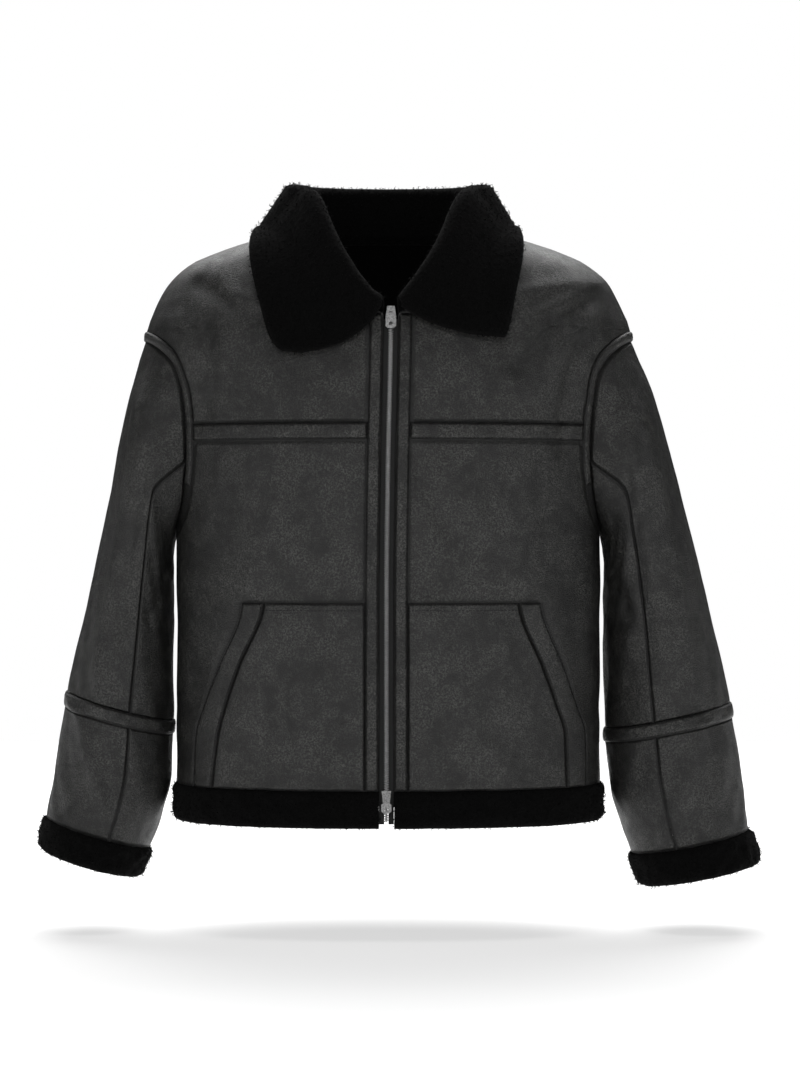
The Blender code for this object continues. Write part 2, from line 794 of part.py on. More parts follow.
def sleeve(side):
    name = side_name(side)
    lines = sleeve_lines(side)
    normals = ring_normals(lines)
    under = ALL_TURNS.index(108)
    under_end = ALL_TURNS.index(252)
    around = len(ALL_TURNS)
    seam_row = BAND_ROW + 1
    last = len(lines) - 1
    outer_count = under + around - under_end
    inner_count = under_end - under
    sleeve_piece("sleeve_upper_" + name, side, lines, normals, 0, seam_row, under_end, outer_count)
    sleeve_piece("sleeve_under_" + name, side, lines, normals, 0, seam_row, under, inner_count)
    sleeve_piece("forearm_upper_" + name, side, lines, normals, seam_row, last, under_end,
                 outer_count)
    sleeve_piece("forearm_under_" + name, side, lines, normals, seam_row, last, under, inner_count)

    outer = []
    inner = []
    for r in (seam_row, seam_row + 1):
        shift = SEAM / 2 if r == seam_row else -SEAM / 2
        step = [toward(lines[seam_row][c], lines[seam_row + 1][c], shift) for c in range(around)]
        base = [lines[r][c] + step[c] for c in range(around)]
        inner.append([p + normals[r][c] * SEAM for c, p in enumerate(base)])
        outer.append([p + normals[r][c] * (SEAM + TRIM) for c, p in enumerate(base)])
    ring_solid("sleeve_band_" + name, "leather_band", outer, inner)

    end = SLEEVES[side][-1]
    foot = CUFF_FOOT[side]
    width = ((end["outer_x"] - end["inner_x"]) ** 2 + (end["outer_z"] - end["inner_z"]) ** 2) ** 0.5
    grow_x = (end["outer_x"] - end["inner_x"]) / width * CUFF_PROUD
    grow_z = (end["outer_z"] - end["inner_z"]) / width * CUFF_PROUD
    top = {"outer_x": end["outer_x"] + grow_x, "outer_z": end["outer_z"] + grow_z - 2 * SEAM,
           "inner_x": end["inner_x"] - grow_x, "inner_z": end["inner_z"] - grow_z - 2 * SEAM,
           "half_depth": end["half_depth"] + CUFF_PROUD, "middle_y": end["middle_y"]}
    outer = []
    inner = []
    for share, inset in ((0.0, 0.0035), (0.14, 0.0), (0.5, -0.0008), (0.86, 0.0), (1.0, 0.0035)):
        row = {key: top[key] + (foot[key] - top[key]) * share for key in top}
        ring = [sleeve_ring(row, side, turn) for turn in ALL_TURNS]
        centre = sum(ring, Vector()) / around
        outer.append([p + toward(p, centre, inset) for p in ring])
        inner.append([p + toward(p, centre, 0.0125) for p in ring])
    ring_solid("cuff_" + name, "wool", outer, inner)


# Hem band

def hem_band():
    levels = table(
        "share out",
        (0.00, 0.0006),
        (0.12, 0.0030),
        (0.50, 0.0036),
        (0.88, 0.0028),
        (1.00, 0.0000))

    def lay(name, places):
        sheet = Sheet()
        ids = []
        for level in levels:
            height = HEM_TOP - SEAM / 2 + (HEM_BOTTOM - HEM_TOP) * level["share"]
            line = []
            for side, angle in places(height):
                point = skin(side, angle, height)
                normal = wall_normal(side, angle, height)
                line.append((point, normal, level["out"]))
            ids.append(line)
        faces = [[(p, n) for p, n, out in line] for line in ids]
        moved = pull_in(faces, ("start", "end"))
        rows = []
        for line, made in zip(ids, moved):
            rows.append([sheet.point(p + n * out, p - n * 0.0095)
                         for p, (q, n, out) in zip(made, line)])
        sheet.lattice(rows)
        sheet.solid(name, "wool")

    def front(side):
        def places(height):
            gap = EDGE_GAP + side * read(ZIP, "height", "middle", height)
            first = angle_at(gap, height)
            return [(side, first + (90 - first) * k / COLUMNS) for k in range(COLUMNS + 1)]
        return places

    def back(height):
        left = [(LEFT, 90 + 90 * k / BACK_COLUMNS) for k in range(BACK_COLUMNS + 1)]
        right = [(RIGHT, 90 + 90 * k / BACK_COLUMNS) for k in reversed(range(BACK_COLUMNS))]
        return left + right

    lay("hem_band_front_left", front(LEFT))
    lay("hem_band_front_right", front(RIGHT))
    lay("hem_band_back", back)


# Collar

def body_level(point):
    height = min(point.z, BODY[-1]["height"])
    half_width = read(BODY, "height", "half_width", height)
    depth = read(BODY, "height", "front" if point.y < 0 else "back", height)
    grow = 2 / ROUNDNESS
    value = (abs(point.x) / half_width) ** grow + (abs(point.y) / depth) ** grow
    return value ** (1 / grow) - 1


def clear_of_body(point, space):
    point = point.copy()
    for _ in range(5):
        level = body_level(point)
        tiny = 0.0005
        slope = Vector([(body_level(point + step) - level) / tiny for step in (
            Vector((tiny, 0, 0)), Vector((0, tiny, 0)), Vector((0, 0, tiny)))])
        distance = level / slope.length
        if distance >= space:
            break
        point += slope.normalized() * (space - distance)
    return point


def collar_path(side, station):
    seam = NECK_SEAM[side][station]
    base = seam["point"] + seam["across"] * SEAM / 2 + seam["wall"] / 2
    rise = seam["rise"]
    outward = seam["outward"]
    straight = max(read(STAND, "station", "rise", station) - FOLD_RADIUS - WOOL_WALL / 2, 0.0055)
    path = [base, base + rise * straight * 0.5, base + rise * straight]
    centre = path[-1] + outward * FOLD_RADIUS
    for turn in (36, 72, 108, 144, 180):
        path.append(centre - outward * FOLD_RADIUS * cos(radians(turn))
                    + rise * FOLD_RADIUS * sin(radians(turn)))
    leaf = LEAVES[side]
    edge = Vector((side * read(leaf, "station", "x", station), read(leaf, "station", "y", station),
                   read(leaf, "station", "z", station)))
    sag = read(leaf, "station", "sag", station)
    start = path[-1]
    for k in range(1, LEAF_STEPS + 1):
        share = k / LEAF_STEPS
        point = start.lerp(edge, share)
        point.z -= sag * 4 * share * (1 - share) * 0.9
        point.x += side * -sag * 4 * share * (1 - share) * 0.6
        space = LEAF_CLEAR + WOOL_WALL / 2
        if abs(point.x) < 0.034:
            space += TRIM
        path.append(clear_of_body(point, space))
    return path


def collar():
    stations = [(LEFT, k) for k in range(len(NECK_SEAM[LEFT]))]
    stations += [(RIGHT, k) for k in reversed(range(len(NECK_SEAM[RIGHT]) - 1))]
    paths = [collar_path(side, k) for side, k in stations]
    sheet = Sheet()
    ids = []
    last = len(paths) - 1
    for i, path in enumerate(paths):
        side, station = stations[i]
        seam = NECK_SEAM[side][station]
        line = []
        for j, point in enumerate(path):
            if j == 0:
                start = seam["point"] + seam["across"] * SEAM / 2
                line.append(sheet.point(start, start + seam["wall"]))
                continue
            along = paths[min(i + 1, last)][j] - paths[max(i - 1, 0)][j]
            down = path[min(j + 1, len(path) - 1)] - path[j - 1]
            thick = WOOL_WALL * (0.75 if j < 3 else 1.0)
            normal = along.cross(down).normalized() * thick / 2
            line.append(sheet.point(point - normal, point + normal))
        ids.append(line)
    sheet.lattice(ids)
    sheet.solid("collar", "wool")


# Zip

def zip_point(height, across, behind):
    middle = read(ZIP, "height", "middle", height)
    face = -read(BODY, "height", "front", height)
    return Vector((middle + across, face + behind, height))


def zip_strip(name, slot, near, far, top, foot, front, back, steps):
    sheet = Sheet()
    ids = []
    for k in range(steps + 1):
        height = top + (foot - top) * k / steps
        ids.append([sheet.point(zip_point(height, across, front), zip_point(height, across, back))
                    for across in (near, far)])
    sheet.lattice(ids)
    sheet.solid(name, slot)


def zip_parts():
    for side in (LEFT, RIGHT):
        zip_strip("zip_tape_" + side_name(side), "zip_tape", side * (CHAIN_HALF + SEAM),
                  side * TAPE_HALF, CHAIN_TOP - 0.002, CHAIN_FOOT - 0.003, 0.0015,
                  0.0015 + TAPE_THICK, 20)
    zip_strip("zip_chain", "zip_metal", -CHAIN_HALF, CHAIN_HALF, CHAIN_TOP, CHAIN_FOOT, 0.0006,
              0.0006 + CHAIN_THICK, 20)


# Sliders: a plate with a small bridge, and a pull whose top bar turns in the bridge

SLIDER_LIFT = 0.0004      # the plate runs just in front of the chain
PLATE_THICK = 0.0022
BRIDGE_HALF = 0.0014
BRIDGE_LEVELS = (0.0026, 0.0036, 0.0066, 0.0076)   # below the plate's top edge
BRIDGE_OUT = 0.0040
BRIDGE_IN = 0.0029
BAR_HALF = 0.0009
EYE_HALF = 0.0023
EYE_LONG = 0.0062
PULL_HALF = 0.0008


def slider(name, place, long, wide_top, wide_foot):
    """Plate in cells of width and length, with a bridge standing on its front."""
    marks = (0.0, BRIDGE_LEVELS[0], BRIDGE_LEVELS[1], BRIDGE_LEVELS[2], BRIDGE_LEVELS[3], long)
    widths = []
    for mark in marks:
        share = mark / long
        widths.append(wide_top + (wide_foot - wide_top) * share)
    points = []
    faces = []
    index = {}

    def vertex(x, y, z):
        key = (round(x, 6), round(y, 6), round(z, 6))
        if key not in index:
            index[key] = len(points)
            points.append(place(x, y, z))
        return index[key]

    def quad(a, b, c, d):
        corners = [vertex(*corner) for corner in (a, b, c, d)]
        faces.append((corners[0], corners[1], corners[2]))
        faces.append((corners[0], corners[2], corners[3]))

    for k in range(5):
        z0, z1 = marks[k], marks[k + 1]
        for y in (0.0, PLATE_THICK):
            xs0 = (-widths[k], -BRIDGE_HALF, BRIDGE_HALF, widths[k])
            xs1 = (-widths[k + 1], -BRIDGE_HALF, BRIDGE_HALF, widths[k + 1])
            for c in range(3):
                if y > 0 and c == 1 and k in (1, 3):
                    continue
                quad((xs0[c], y, z0), (xs0[c + 1], y, z0), (xs1[c + 1], y, z1), (xs1[c], y, z1))
        for sign in (-1, 1):
            quad((sign * widths[k], 0.0, z0), (sign * widths[k], PLATE_THICK, z0),
                 (sign * widths[k + 1], PLATE_THICK, z1), (sign * widths[k + 1], 0.0, z1))
    for k in (0, 5):
        xs = (-widths[k], -BRIDGE_HALF, BRIDGE_HALF, widths[k])
        for c in range(3):
            quad((xs[c], 0.0, marks[k]), (xs[c + 1], 0.0, marks[k]),
                 (xs[c + 1], PLATE_THICK, marks[k]), (xs[c], PLATE_THICK, marks[k]))
    low = PLATE_THICK
    high_in = PLATE_THICK + BRIDGE_IN
    high_out = PLATE_THICK + BRIDGE_OUT
    outer = ((low, marks[1]), (high_out, marks[1]), (high_out, marks[4]), (low, marks[4]))
    inner = ((low, marks[2]), (high_in, marks[2]), (high_in, marks[3]), (low, marks[3]))
    for k in range(3):
        for ring in (outer, inner):
            quad((-BRIDGE_HALF, *ring[k]), (BRIDGE_HALF, *ring[k]),
                 (BRIDGE_HALF, *ring[k + 1]), (-BRIDGE_HALF, *ring[k + 1]))
        for x in (-BRIDGE_HALF, BRIDGE_HALF):
            quad((x, *outer[k]), (x, *outer[k + 1]), (x, *inner[k + 1]), (x, *inner[k]))
    make_object(name, points, faces, "zip_metal")


def pull(name, place, half_wide, long, hole):
    """Flat tab: a square eye round the bridge, then a plate with a round hole."""
    sheet = Sheet()
    bar_level = (BRIDGE_LEVELS[1] + BRIDGE_LEVELS[2]) / 2
    bar_out = PLATE_THICK + BRIDGE_IN / 2
    eye_out = EYE_HALF + 0.0013
    top = BAR_HALF
    eye_top = -BAR_HALF
    eye_foot = eye_top - EYE_LONG
    neck = eye_foot - 0.0012
    foot = neck - long

    def point(x, z):
        return sheet.point(place(x, bar_out + PULL_HALF, bar_level - z),
                           place(x, bar_out - PULL_HALF, bar_level - z))

    outer = [point(-eye_out, top), point(eye_out, top), point(eye_out, neck), point(-eye_out, neck)]
    inner = [point(-EYE_HALF, eye_top), point(EYE_HALF, eye_top), point(EYE_HALF, eye_foot),
             point(-EYE_HALF, eye_foot)]
    for k in range(4):
        n = (k + 1) % 4
        sheet.cells.append((outer[k], outer[n], inner[n], inner[k]))
    middle_z = neck - long * 0.62
    frame = [outer[3], outer[2], point(half_wide, neck - 0.0015), point(half_wide, foot + 0.0025),
             point(half_wide - 0.0025, foot), point(-half_wide + 0.0025, foot),
             point(-half_wide, foot + 0.0025), point(-half_wide, neck - 0.0015)]
    ring = []
    for k in range(8):
        turn = radians(112.5 - 45 * k)
        ring.append(point(hole * cos(turn), middle_z + hole * sin(turn)))
    for k in range(8):
        n = (k + 1) % 8
        sheet.cells.append((frame[k], frame[n], ring[n], ring[k]))
    sheet.solid(name, "zip_metal")


def slider_set(suffix, top, long, wide_top, wide_foot, half_wide, pull_long, hole):
    start = zip_point(top, 0.0, 0.0)
    end = zip_point(top - 0.034, 0.0, 0.0)
    down = (end - start).normalized()
    out = Vector((0.0, down.z, -down.y))

    def place(x, y, z):
        return start + Vector((x, 0.0, 0.0)) + out * (y + SLIDER_LIFT) + down * z

    slider("slider_" + suffix, place, long, wide_top, wide_foot)
    pull("pull_" + suffix, place, half_wide, pull_long, hole)


# Building everything

back_panel()
for side in (LEFT, RIGHT):
    yoke_faces = front_panel(side, False)
    lower_faces = front_panel(side, True)
    body_trims(side, yoke_faces, lower_faces)
    sleeve(side)
hem_band()
collar()
zip_parts()
slider_set("top", -0.0725, 0.0130, 0.0040, 0.0060, 0.0058, 0.0130, 0.0024)
slider_set("bottom", -0.6060, 0.0150, 0.0052, 0.0036, 0.0056, 0.0110, 0.0022)
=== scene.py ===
import json
import math

import bmesh
import bpy
import numpy as np
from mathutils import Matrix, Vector

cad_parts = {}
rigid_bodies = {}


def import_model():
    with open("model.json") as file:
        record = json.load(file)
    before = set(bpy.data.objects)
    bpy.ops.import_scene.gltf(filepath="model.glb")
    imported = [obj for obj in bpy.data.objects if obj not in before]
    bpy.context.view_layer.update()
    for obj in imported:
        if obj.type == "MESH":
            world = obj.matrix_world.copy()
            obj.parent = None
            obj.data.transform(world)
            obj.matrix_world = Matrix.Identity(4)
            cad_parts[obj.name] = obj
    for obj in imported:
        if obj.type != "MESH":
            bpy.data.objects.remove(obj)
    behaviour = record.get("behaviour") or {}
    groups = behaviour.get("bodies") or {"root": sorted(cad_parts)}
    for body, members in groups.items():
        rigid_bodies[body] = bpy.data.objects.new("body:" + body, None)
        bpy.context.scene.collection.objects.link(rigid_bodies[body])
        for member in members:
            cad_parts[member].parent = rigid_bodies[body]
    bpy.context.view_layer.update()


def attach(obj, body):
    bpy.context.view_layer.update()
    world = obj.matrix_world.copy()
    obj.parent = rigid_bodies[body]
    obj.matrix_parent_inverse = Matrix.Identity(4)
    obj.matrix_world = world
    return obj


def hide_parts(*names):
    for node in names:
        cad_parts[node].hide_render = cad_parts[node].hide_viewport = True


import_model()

# %% [markdown]
# # A black shearling jacket
# A shearling jacket is cut from sheepskin: one hide is leather outside and wool inside,
# so its edges, collar and turn-ups show wool. Every panel here is a closed shell that
# follows the same rings and seam lines as the solids of the frame, only finer. This cell
# holds those driving sizes, in metres, with the front toward -Y.

# %% sizes and tables
HIDE = 0.0055
SEAM = 0.0003
ROUNDNESS = 0.851
LEFT = -1
RIGHT = 1
HEM_TOP = -0.607
HEM_BOTTOM = -0.648
NECK_FRONT = -0.080
NECK_SIDE = 0.020
POCKET_TOP = -0.3995
ARM_MIDDLE = -0.210
ARM_HALF = 0.106
ARM_BAND = 0.012
EDGE_GAP = 0.0085
PLACKET = 0.015
TRIM = 0.0014
WOOL_WALL = 0.008
FOLD_RADIUS = 0.0085
LEAF_CLEAR = 0.0018
CUFF_PROUD = 0.0045


def table(names, *rows):
    keys = names.split()
    return [dict(zip(keys, row)) for row in rows]


BODY = table(
    "height half_width front back",
    (-0.660, 0.2450, 0.1280, 0.1170),
    (-0.607, 0.2430, 0.1280, 0.1160),
    (-0.500, 0.2425, 0.1310, 0.1170),
    (-0.400, 0.2425, 0.1340, 0.1190),
    (-0.316, 0.2430, 0.1350, 0.1220),
    (-0.260, 0.2470, 0.1345, 0.1240),
    (-0.200, 0.2560, 0.1330, 0.1250),
    (-0.150, 0.2680, 0.1300, 0.1240),
    (-0.106, 0.2790, 0.1240, 0.1210),
    (-0.089, 0.2770, 0.1200, 0.1190),
    (-0.072, 0.2700, 0.1150, 0.1170),
    (-0.054, 0.2620, 0.1080, 0.1145),
    (-0.037, 0.2520, 0.1000, 0.1115),
    (-0.020, 0.2340, 0.0900, 0.1075),
    (-0.002, 0.1980, 0.0770, 0.1015),
    (0.011, 0.1590, 0.0650, 0.0950),
    (0.020, 0.1200, 0.0550, 0.0885),
    (0.026, 0.0850, 0.0460, 0.0840))
ZIP = table(
    "height middle",
    (-0.640, -0.0018),
    (-0.400, -0.0017),
    (-0.250, 0.0000),
    (-0.106, 0.0030),
    (-0.060, 0.0033))
NECK = table(
    "station height half_width",
    (0, -0.080, 0.0085),
    (1, -0.070, 0.0215),
    (2, -0.055, 0.0390),
    (3, -0.035, 0.0570),
    (4, -0.012, 0.0740),
    (5, 0.006, 0.0875),
    (6, 0.015, 0.0965),
    (7, 0.020, 0.1030))
ARMHOLE = table(
    "turn spread",
    (0, 0.0),
    (14, 15.0),
    (28, 24.5),
    (43, 30.0),
    (58, 31.5),
    (85, 29.5),
    (108, 26.5),
    (137, 19.5),
    (166, 7.5),
    (180, 0.0))
POCKETS = table(
    "height left_inner left_outer right_inner right_outer",
    (-0.607, 0.1955, 0.2175, 0.1985, 0.2210),
    (-0.544, 0.1880, 0.2140, 0.1965, 0.2195),
    (-0.518, 0.1810, 0.2063, 0.1880, 0.2120),
    (-0.471, 0.1650, 0.1880, 0.1710, 0.1950),
    (-0.400, 0.1364, 0.1617, 0.1441, 0.1690),
    (-0.300, 0.1330, 0.1600, 0.1400, 0.1650),
    (-0.201, 0.1300, 0.1640, 0.1340, 0.1670))
SLEEVES = {
    LEFT: table(
        "outer_x outer_z inner_x inner_z half_depth middle_y",
        (0.2920, -0.150, 0.2475, -0.345, 0.0830, 0.0000),
        (0.3085, -0.220, 0.2480, -0.368, 0.0850, 0.0050),
        (0.3228, -0.290, 0.2480, -0.398, 0.0840, 0.0090),
        (0.3380, -0.365, 0.2480, -0.435, 0.0820, 0.0110),
        (0.3540, -0.434, 0.2480, -0.484, 0.0790, 0.0090),
        (0.3690, -0.503, 0.2480, -0.537, 0.0750, 0.0040),
        (0.3715, -0.520, 0.2483, -0.553, 0.0740, 0.0025),
        (0.3790, -0.572, 0.2500, -0.603, 0.0700, -0.0030),
        (0.3850, -0.609, 0.2590, -0.642, 0.0670, -0.0070),
        (0.3910, -0.645, 0.2735, -0.681, 0.0640, -0.0110)),
    RIGHT: table(
        "outer_x outer_z inner_x inner_z half_depth middle_y",
        (0.2990, -0.150, 0.2475, -0.345, 0.0830, 0.0000),
        (0.3200, -0.220, 0.2480, -0.370, 0.0860, 0.0050),
        (0.3395, -0.290, 0.2480, -0.402, 0.0860, 0.0090),
        (0.3585, -0.365, 0.2480, -0.440, 0.0850, 0.0110),
        (0.3750, -0.436, 0.2480, -0.488, 0.0820, 0.0090),
        (0.3920, -0.516, 0.2490, -0.546, 0.0770, 0.0040),
        (0.3945, -0.533, 0.2500, -0.562, 0.0760, 0.0025),
        (0.4030, -0.585, 0.2540, -0.610, 0.0720, -0.0030),
        (0.4070, -0.622, 0.2650, -0.650, 0.0690, -0.0070),
        (0.4110, -0.660, 0.2780, -0.6875, 0.0660, -0.0110))}
CUFF_FOOT = {
    LEFT: {"outer_x": 0.4010, "outer_z": -0.6790, "inner_x": 0.2830, "inner_z": -0.7150,
           "half_depth": 0.0660, "middle_y": -0.0140},
    RIGHT: {"outer_x": 0.4275, "outer_z": -0.6960, "inner_x": 0.2850, "inner_z": -0.7250,
            "half_depth": 0.0680, "middle_y": -0.0140}}
STAND = table(
    "station rise lean",
    (0, 0.0140, 0.15),
    (2, 0.0230, 0.25),
    (4, 0.0310, 0.35),
    (6, 0.0470, 0.40),
    (8, 0.0600, 0.35),
    (12, 0.0650, 0.15),
    (16, 0.0655, 0.05))
LEAVES = {
    LEFT: table(
        "station x y z sag",
        (0, 0.0980, -0.138, -0.1220, 0.014),
        (1, 0.1175, -0.132, -0.1210, 0.007),
        (2, 0.1300, -0.122, -0.1070, 0.002),
        (4, 0.1400, -0.100, -0.0720, 0.000),
        (6, 0.1490, -0.065, -0.0280, 0.000),
        (8, 0.1530, -0.015, 0.0140, 0.000),
        (10, 0.1470, 0.045, 0.0160, 0.000),
        (12, 0.1170, 0.092, -0.0020, 0.000),
        (14, 0.0620, 0.121, -0.0130, 0.000),
        (16, 0.0000, 0.128, -0.0160, 0.000)),
    RIGHT: table(
        "station x y z sag",
        (0, 0.1150, -0.136, -0.1050, 0.008),
        (1, 0.1290, -0.131, -0.1045, 0.004),
        (2, 0.1345, -0.120, -0.0900, 0.001),
        (4, 0.1400, -0.098, -0.0600, 0.000),
        (6, 0.1460, -0.065, -0.0240, 0.000),
        (8, 0.1490, -0.015, 0.0140, 0.000),
        (10, 0.1430, 0.045, 0.0160, 0.000),
        (12, 0.1150, 0.092, -0.0020, 0.000),
        (14, 0.0620, 0.121, -0.0130, 0.000),
        (16, 0.0000, 0.128, -0.0160, 0.000))}

# %% [markdown]
# Leather doesn't crease evenly. Its large folds are few, long and soft, and start where
# something pulls: the armhole, the collar's point, the underarm and the bend of the
# elbow. Each row is one fold: the two ends of its line, a sideways bow in the middle,
# its reach to either side, and how far it pushes out (+) or in (-). On the body a line
# runs in distance from the middle and height, and on a sleeve in turn round it (90 is
# the front) and height.

# %% folds
FOLDS = table(
    "side face x_a z_a x_b z_b bow reach push",
    (LEFT, "front", 0.215, -0.043, 0.147, -0.082, 0.000, 0.010, -0.0042),
    (LEFT, "front", 0.182, -0.054, 0.140, -0.070, 0.000, 0.008, 0.0030),
    (LEFT, "front", 0.238, -0.087, 0.222, -0.147, 0.003, 0.010, 0.0030),
    (LEFT, "front", 0.215, -0.108, 0.201, -0.160, 0.004, 0.008, 0.0028),
    (LEFT, "front", 0.204, -0.092, 0.208, -0.205, 0.006, 0.009, -0.0030),
    (LEFT, "front", 0.139, -0.225, 0.137, -0.300, 0.002, 0.008, -0.0016),
    (LEFT, "front", 0.152, -0.245, 0.148, -0.370, 0.006, 0.018, 0.0022),
    (LEFT, "front", 0.090, -0.235, 0.097, -0.345, 0.004, 0.014, 0.0014),
    (LEFT, "front", 0.040, -0.300, 0.060, -0.380, 0.004, 0.014, -0.0014),
    (LEFT, "front", 0.205, -0.390, 0.225, -0.520, 0.006, 0.014, -0.0030),
    (LEFT, "front", 0.096, -0.415, 0.096, -0.600, 0.004, 0.013, 0.0034),
    (LEFT, "front", 0.068, -0.430, 0.072, -0.560, 0.004, 0.013, -0.0022),
    (LEFT, "front", 0.040, -0.462, 0.034, -0.486, 0.000, 0.012, -0.0020),
    (LEFT, "front", 0.140, -0.470, 0.150, -0.590, 0.005, 0.012, -0.0018),
    (RIGHT, "front", 0.233, -0.041, 0.143, -0.056, 0.003, 0.008, 0.0032),
    (RIGHT, "front", 0.221, -0.053, 0.143, -0.087, 0.000, 0.008, 0.0032),
    (RIGHT, "front", 0.226, -0.060, 0.143, -0.139, 0.003, 0.009, -0.0046),
    (RIGHT, "front", 0.210, -0.100, 0.158, -0.165, 0.004, 0.010, 0.0034),
    (RIGHT, "front", 0.216, -0.108, 0.194, -0.227, 0.006, 0.009, -0.0046),
    (RIGHT, "front", 0.222, -0.130, 0.220, -0.172, 0.000, 0.008, 0.0024),
    (RIGHT, "front", 0.029, -0.238, 0.070, -0.328, 0.003, 0.011, -0.0030),
    (RIGHT, "front", 0.060, -0.232, 0.105, -0.318, 0.004, 0.013, 0.0018),
    (RIGHT, "front", 0.150, -0.250, 0.150, -0.375, -0.005, 0.016, 0.0018),
    (RIGHT, "front", 0.205, -0.380, 0.228, -0.520, 0.006, 0.015, -0.0032),
    (RIGHT, "front", 0.040, -0.405, 0.112, -0.564, 0.004, 0.011, 0.0042),
    (RIGHT, "front", 0.047, -0.435, 0.100, -0.545, 0.002, 0.009, -0.0036),
    (RIGHT, "front", 0.124, -0.430, 0.128, -0.520, 0.004, 0.013, 0.0022),
    (RIGHT, "front", 0.040, -0.530, 0.062, -0.600, 0.003, 0.013, 0.0024),
    (LEFT, "back", 0.190, -0.080, 0.110, -0.150, 0.000, 0.014, -0.0040),
    (LEFT, "back", 0.205, -0.110, 0.180, -0.230, 0.006, 0.012, 0.0032),
    (LEFT, "back", 0.160, -0.240, 0.080, -0.330, 0.006, 0.014, -0.0026),
    (LEFT, "back", 0.120, -0.400, 0.100, -0.560, 0.006, 0.018, 0.0035),
    (LEFT, "back", 0.050, -0.420, 0.060, -0.580, 0.005, 0.014, -0.0022),
    (RIGHT, "back", 0.200, -0.090, 0.120, -0.150, 0.000, 0.014, -0.0040),
    (RIGHT, "back", 0.210, -0.120, 0.185, -0.240, -0.006, 0.012, 0.0032),
    (RIGHT, "back", 0.140, -0.230, 0.070, -0.320, -0.006, 0.014, -0.0024),
    (RIGHT, "back", 0.090, -0.380, 0.120, -0.540, 0.006, 0.018, 0.0035),
    (RIGHT, "back", 0.170, -0.430, 0.160, -0.580, 0.005, 0.014, -0.0024))

# %% [markdown]
# Each piece is cut flat from a hide. This table gives the rectangle that each cut fits in,
# and the area of the cut inside it, for what shows of the piece.

# %% cuts
CUTS = table(
    "kind width length area",
    ("front_yoke", 0.330, 0.260, 0.0610),
    ("front", 0.340, 0.420, 0.1180),
    ("back", 0.620, 0.700, 0.3700),
    ("placket", 0.0158, 0.530, 0.0083),
    ("yoke_band", 0.200, 0.0205, 0.0040),
    ("pocket", 0.190, 0.205, 0.0330),
    ("pocket_welt", 0.033, 0.215, 0.0066),
    ("armhole_band", 0.450, 0.0132, 0.0058),
    ("sleeve_upper", 0.360, 0.420, 0.1050),
    ("sleeve_under", 0.220, 0.260, 0.0480),
    ("forearm_upper", 0.300, 0.145, 0.0390),
    ("forearm_under", 0.190, 0.150, 0.0260),
    ("sleeve_band", 0.460, 0.0175, 0.0078),
    ("cuff", 0.450, 0.042, 0.0180),
    ("hem_band_front", 0.330, 0.046, 0.0150),
    ("hem_band_back", 0.660, 0.046, 0.0300),
    ("collar", 0.780, 0.210, 0.1240))

# %% [markdown]
# Every form is read from the tables through one kind of curve, which passes through the
# rows and never overshoots them, so that a fine grid and a coarse one agree.

# %% curves and the body's skin


class Curve:
    """Smooth curve through rows of values, without overshoot."""

    def __init__(self, places, values):
        self.x = np.array(places, float)
        self.y = np.array(values, float)
        flat = self.y.reshape(len(self.x), -1)
        step = np.diff(flat, axis=0) / np.diff(self.x)[:, None]
        slope = np.zeros_like(flat)
        slope[0] = step[0]
        slope[-1] = step[-1]
        before, after = step[:-1], step[1:]
        same = before * after > 0
        total = np.where(same, before + after, 1.0)
        slope[1:-1] = np.where(same, 2 * before * after / total, 0.0)
        self.slope = slope.reshape(self.y.shape)

    def __call__(self, at):
        at = np.clip(np.asarray(at, float), self.x[0], self.x[-1])
        low = np.clip(np.searchsorted(self.x, at, side="right") - 1, 0, len(self.x) - 2)
        span = self.x[low + 1] - self.x[low]
        t = (at - self.x[low]) / span
        extra = (1,) * (self.y.ndim - 1)
        t = t.reshape(t.shape + extra)
        span = span.reshape(span.shape + extra)
        start, end = self.y[low], self.y[low + 1]
        leave, arrive = self.slope[low] * span, self.slope[low + 1] * span
        return (start * (2 * t ** 3 - 3 * t ** 2 + 1) + end * (3 * t ** 2 - 2 * t ** 3)
                + leave * (t ** 3 - 2 * t ** 2 + t) + arrive * (t ** 3 - t ** 2))


def column(rows, by, want):
    return Curve([row[by] for row in rows], [row[want] for row in rows])


half_width_at = column(BODY, "height", "half_width")
front_at = column(BODY, "height", "front")
back_at = column(BODY, "height", "back")
zip_at = column(ZIP, "height", "middle")
neck_at = column(NECK, "height", "half_width")
spread_at = column(ARMHOLE, "turn", "spread")


def unit(v):
    return v / np.maximum(np.linalg.norm(v, axis=-1, keepdims=True), 1e-12)


def fold_sum(rows, across, height):
    total = np.zeros_like(across)
    for fold in rows:
        run_x = fold["x_b"] - fold["x_a"]
        run_z = fold["z_b"] - fold["z_a"]
        length = math.hypot(run_x, run_z)
        run_x /= length
        run_z /= length
        along = (across - fold["x_a"]) * run_x + (height - fold["z_a"]) * run_z
        aside = (across - fold["x_a"]) * run_z - (height - fold["z_a"]) * run_x
        t = np.clip(along / length, 0.0, 1.0)
        aside = aside - fold["bow"] * 4 * t * (1 - t)
        past = along - t * length
        total += fold["push"] * np.exp(-(aside ** 2 + past ** 2) / fold["reach"] ** 2)
    return total


rng = np.random.default_rng(12)
WAVES = [(rng.uniform(-0.6, 0.6), rng.uniform(0.022, 0.075), rng.uniform(0, 2 * math.pi))
         for _ in range(9)]


def ripple(across, height, shift, size):
    """Faint unevenness of a supple hide, from a few crossing waves, mostly upright."""
    total = np.zeros_like(across)
    for heading, wave, phase in WAVES:
        total += np.sin((across * math.cos(heading) + height * math.sin(heading))
                        * 2 * math.pi / wave + phase + shift) * wave
    return total * size


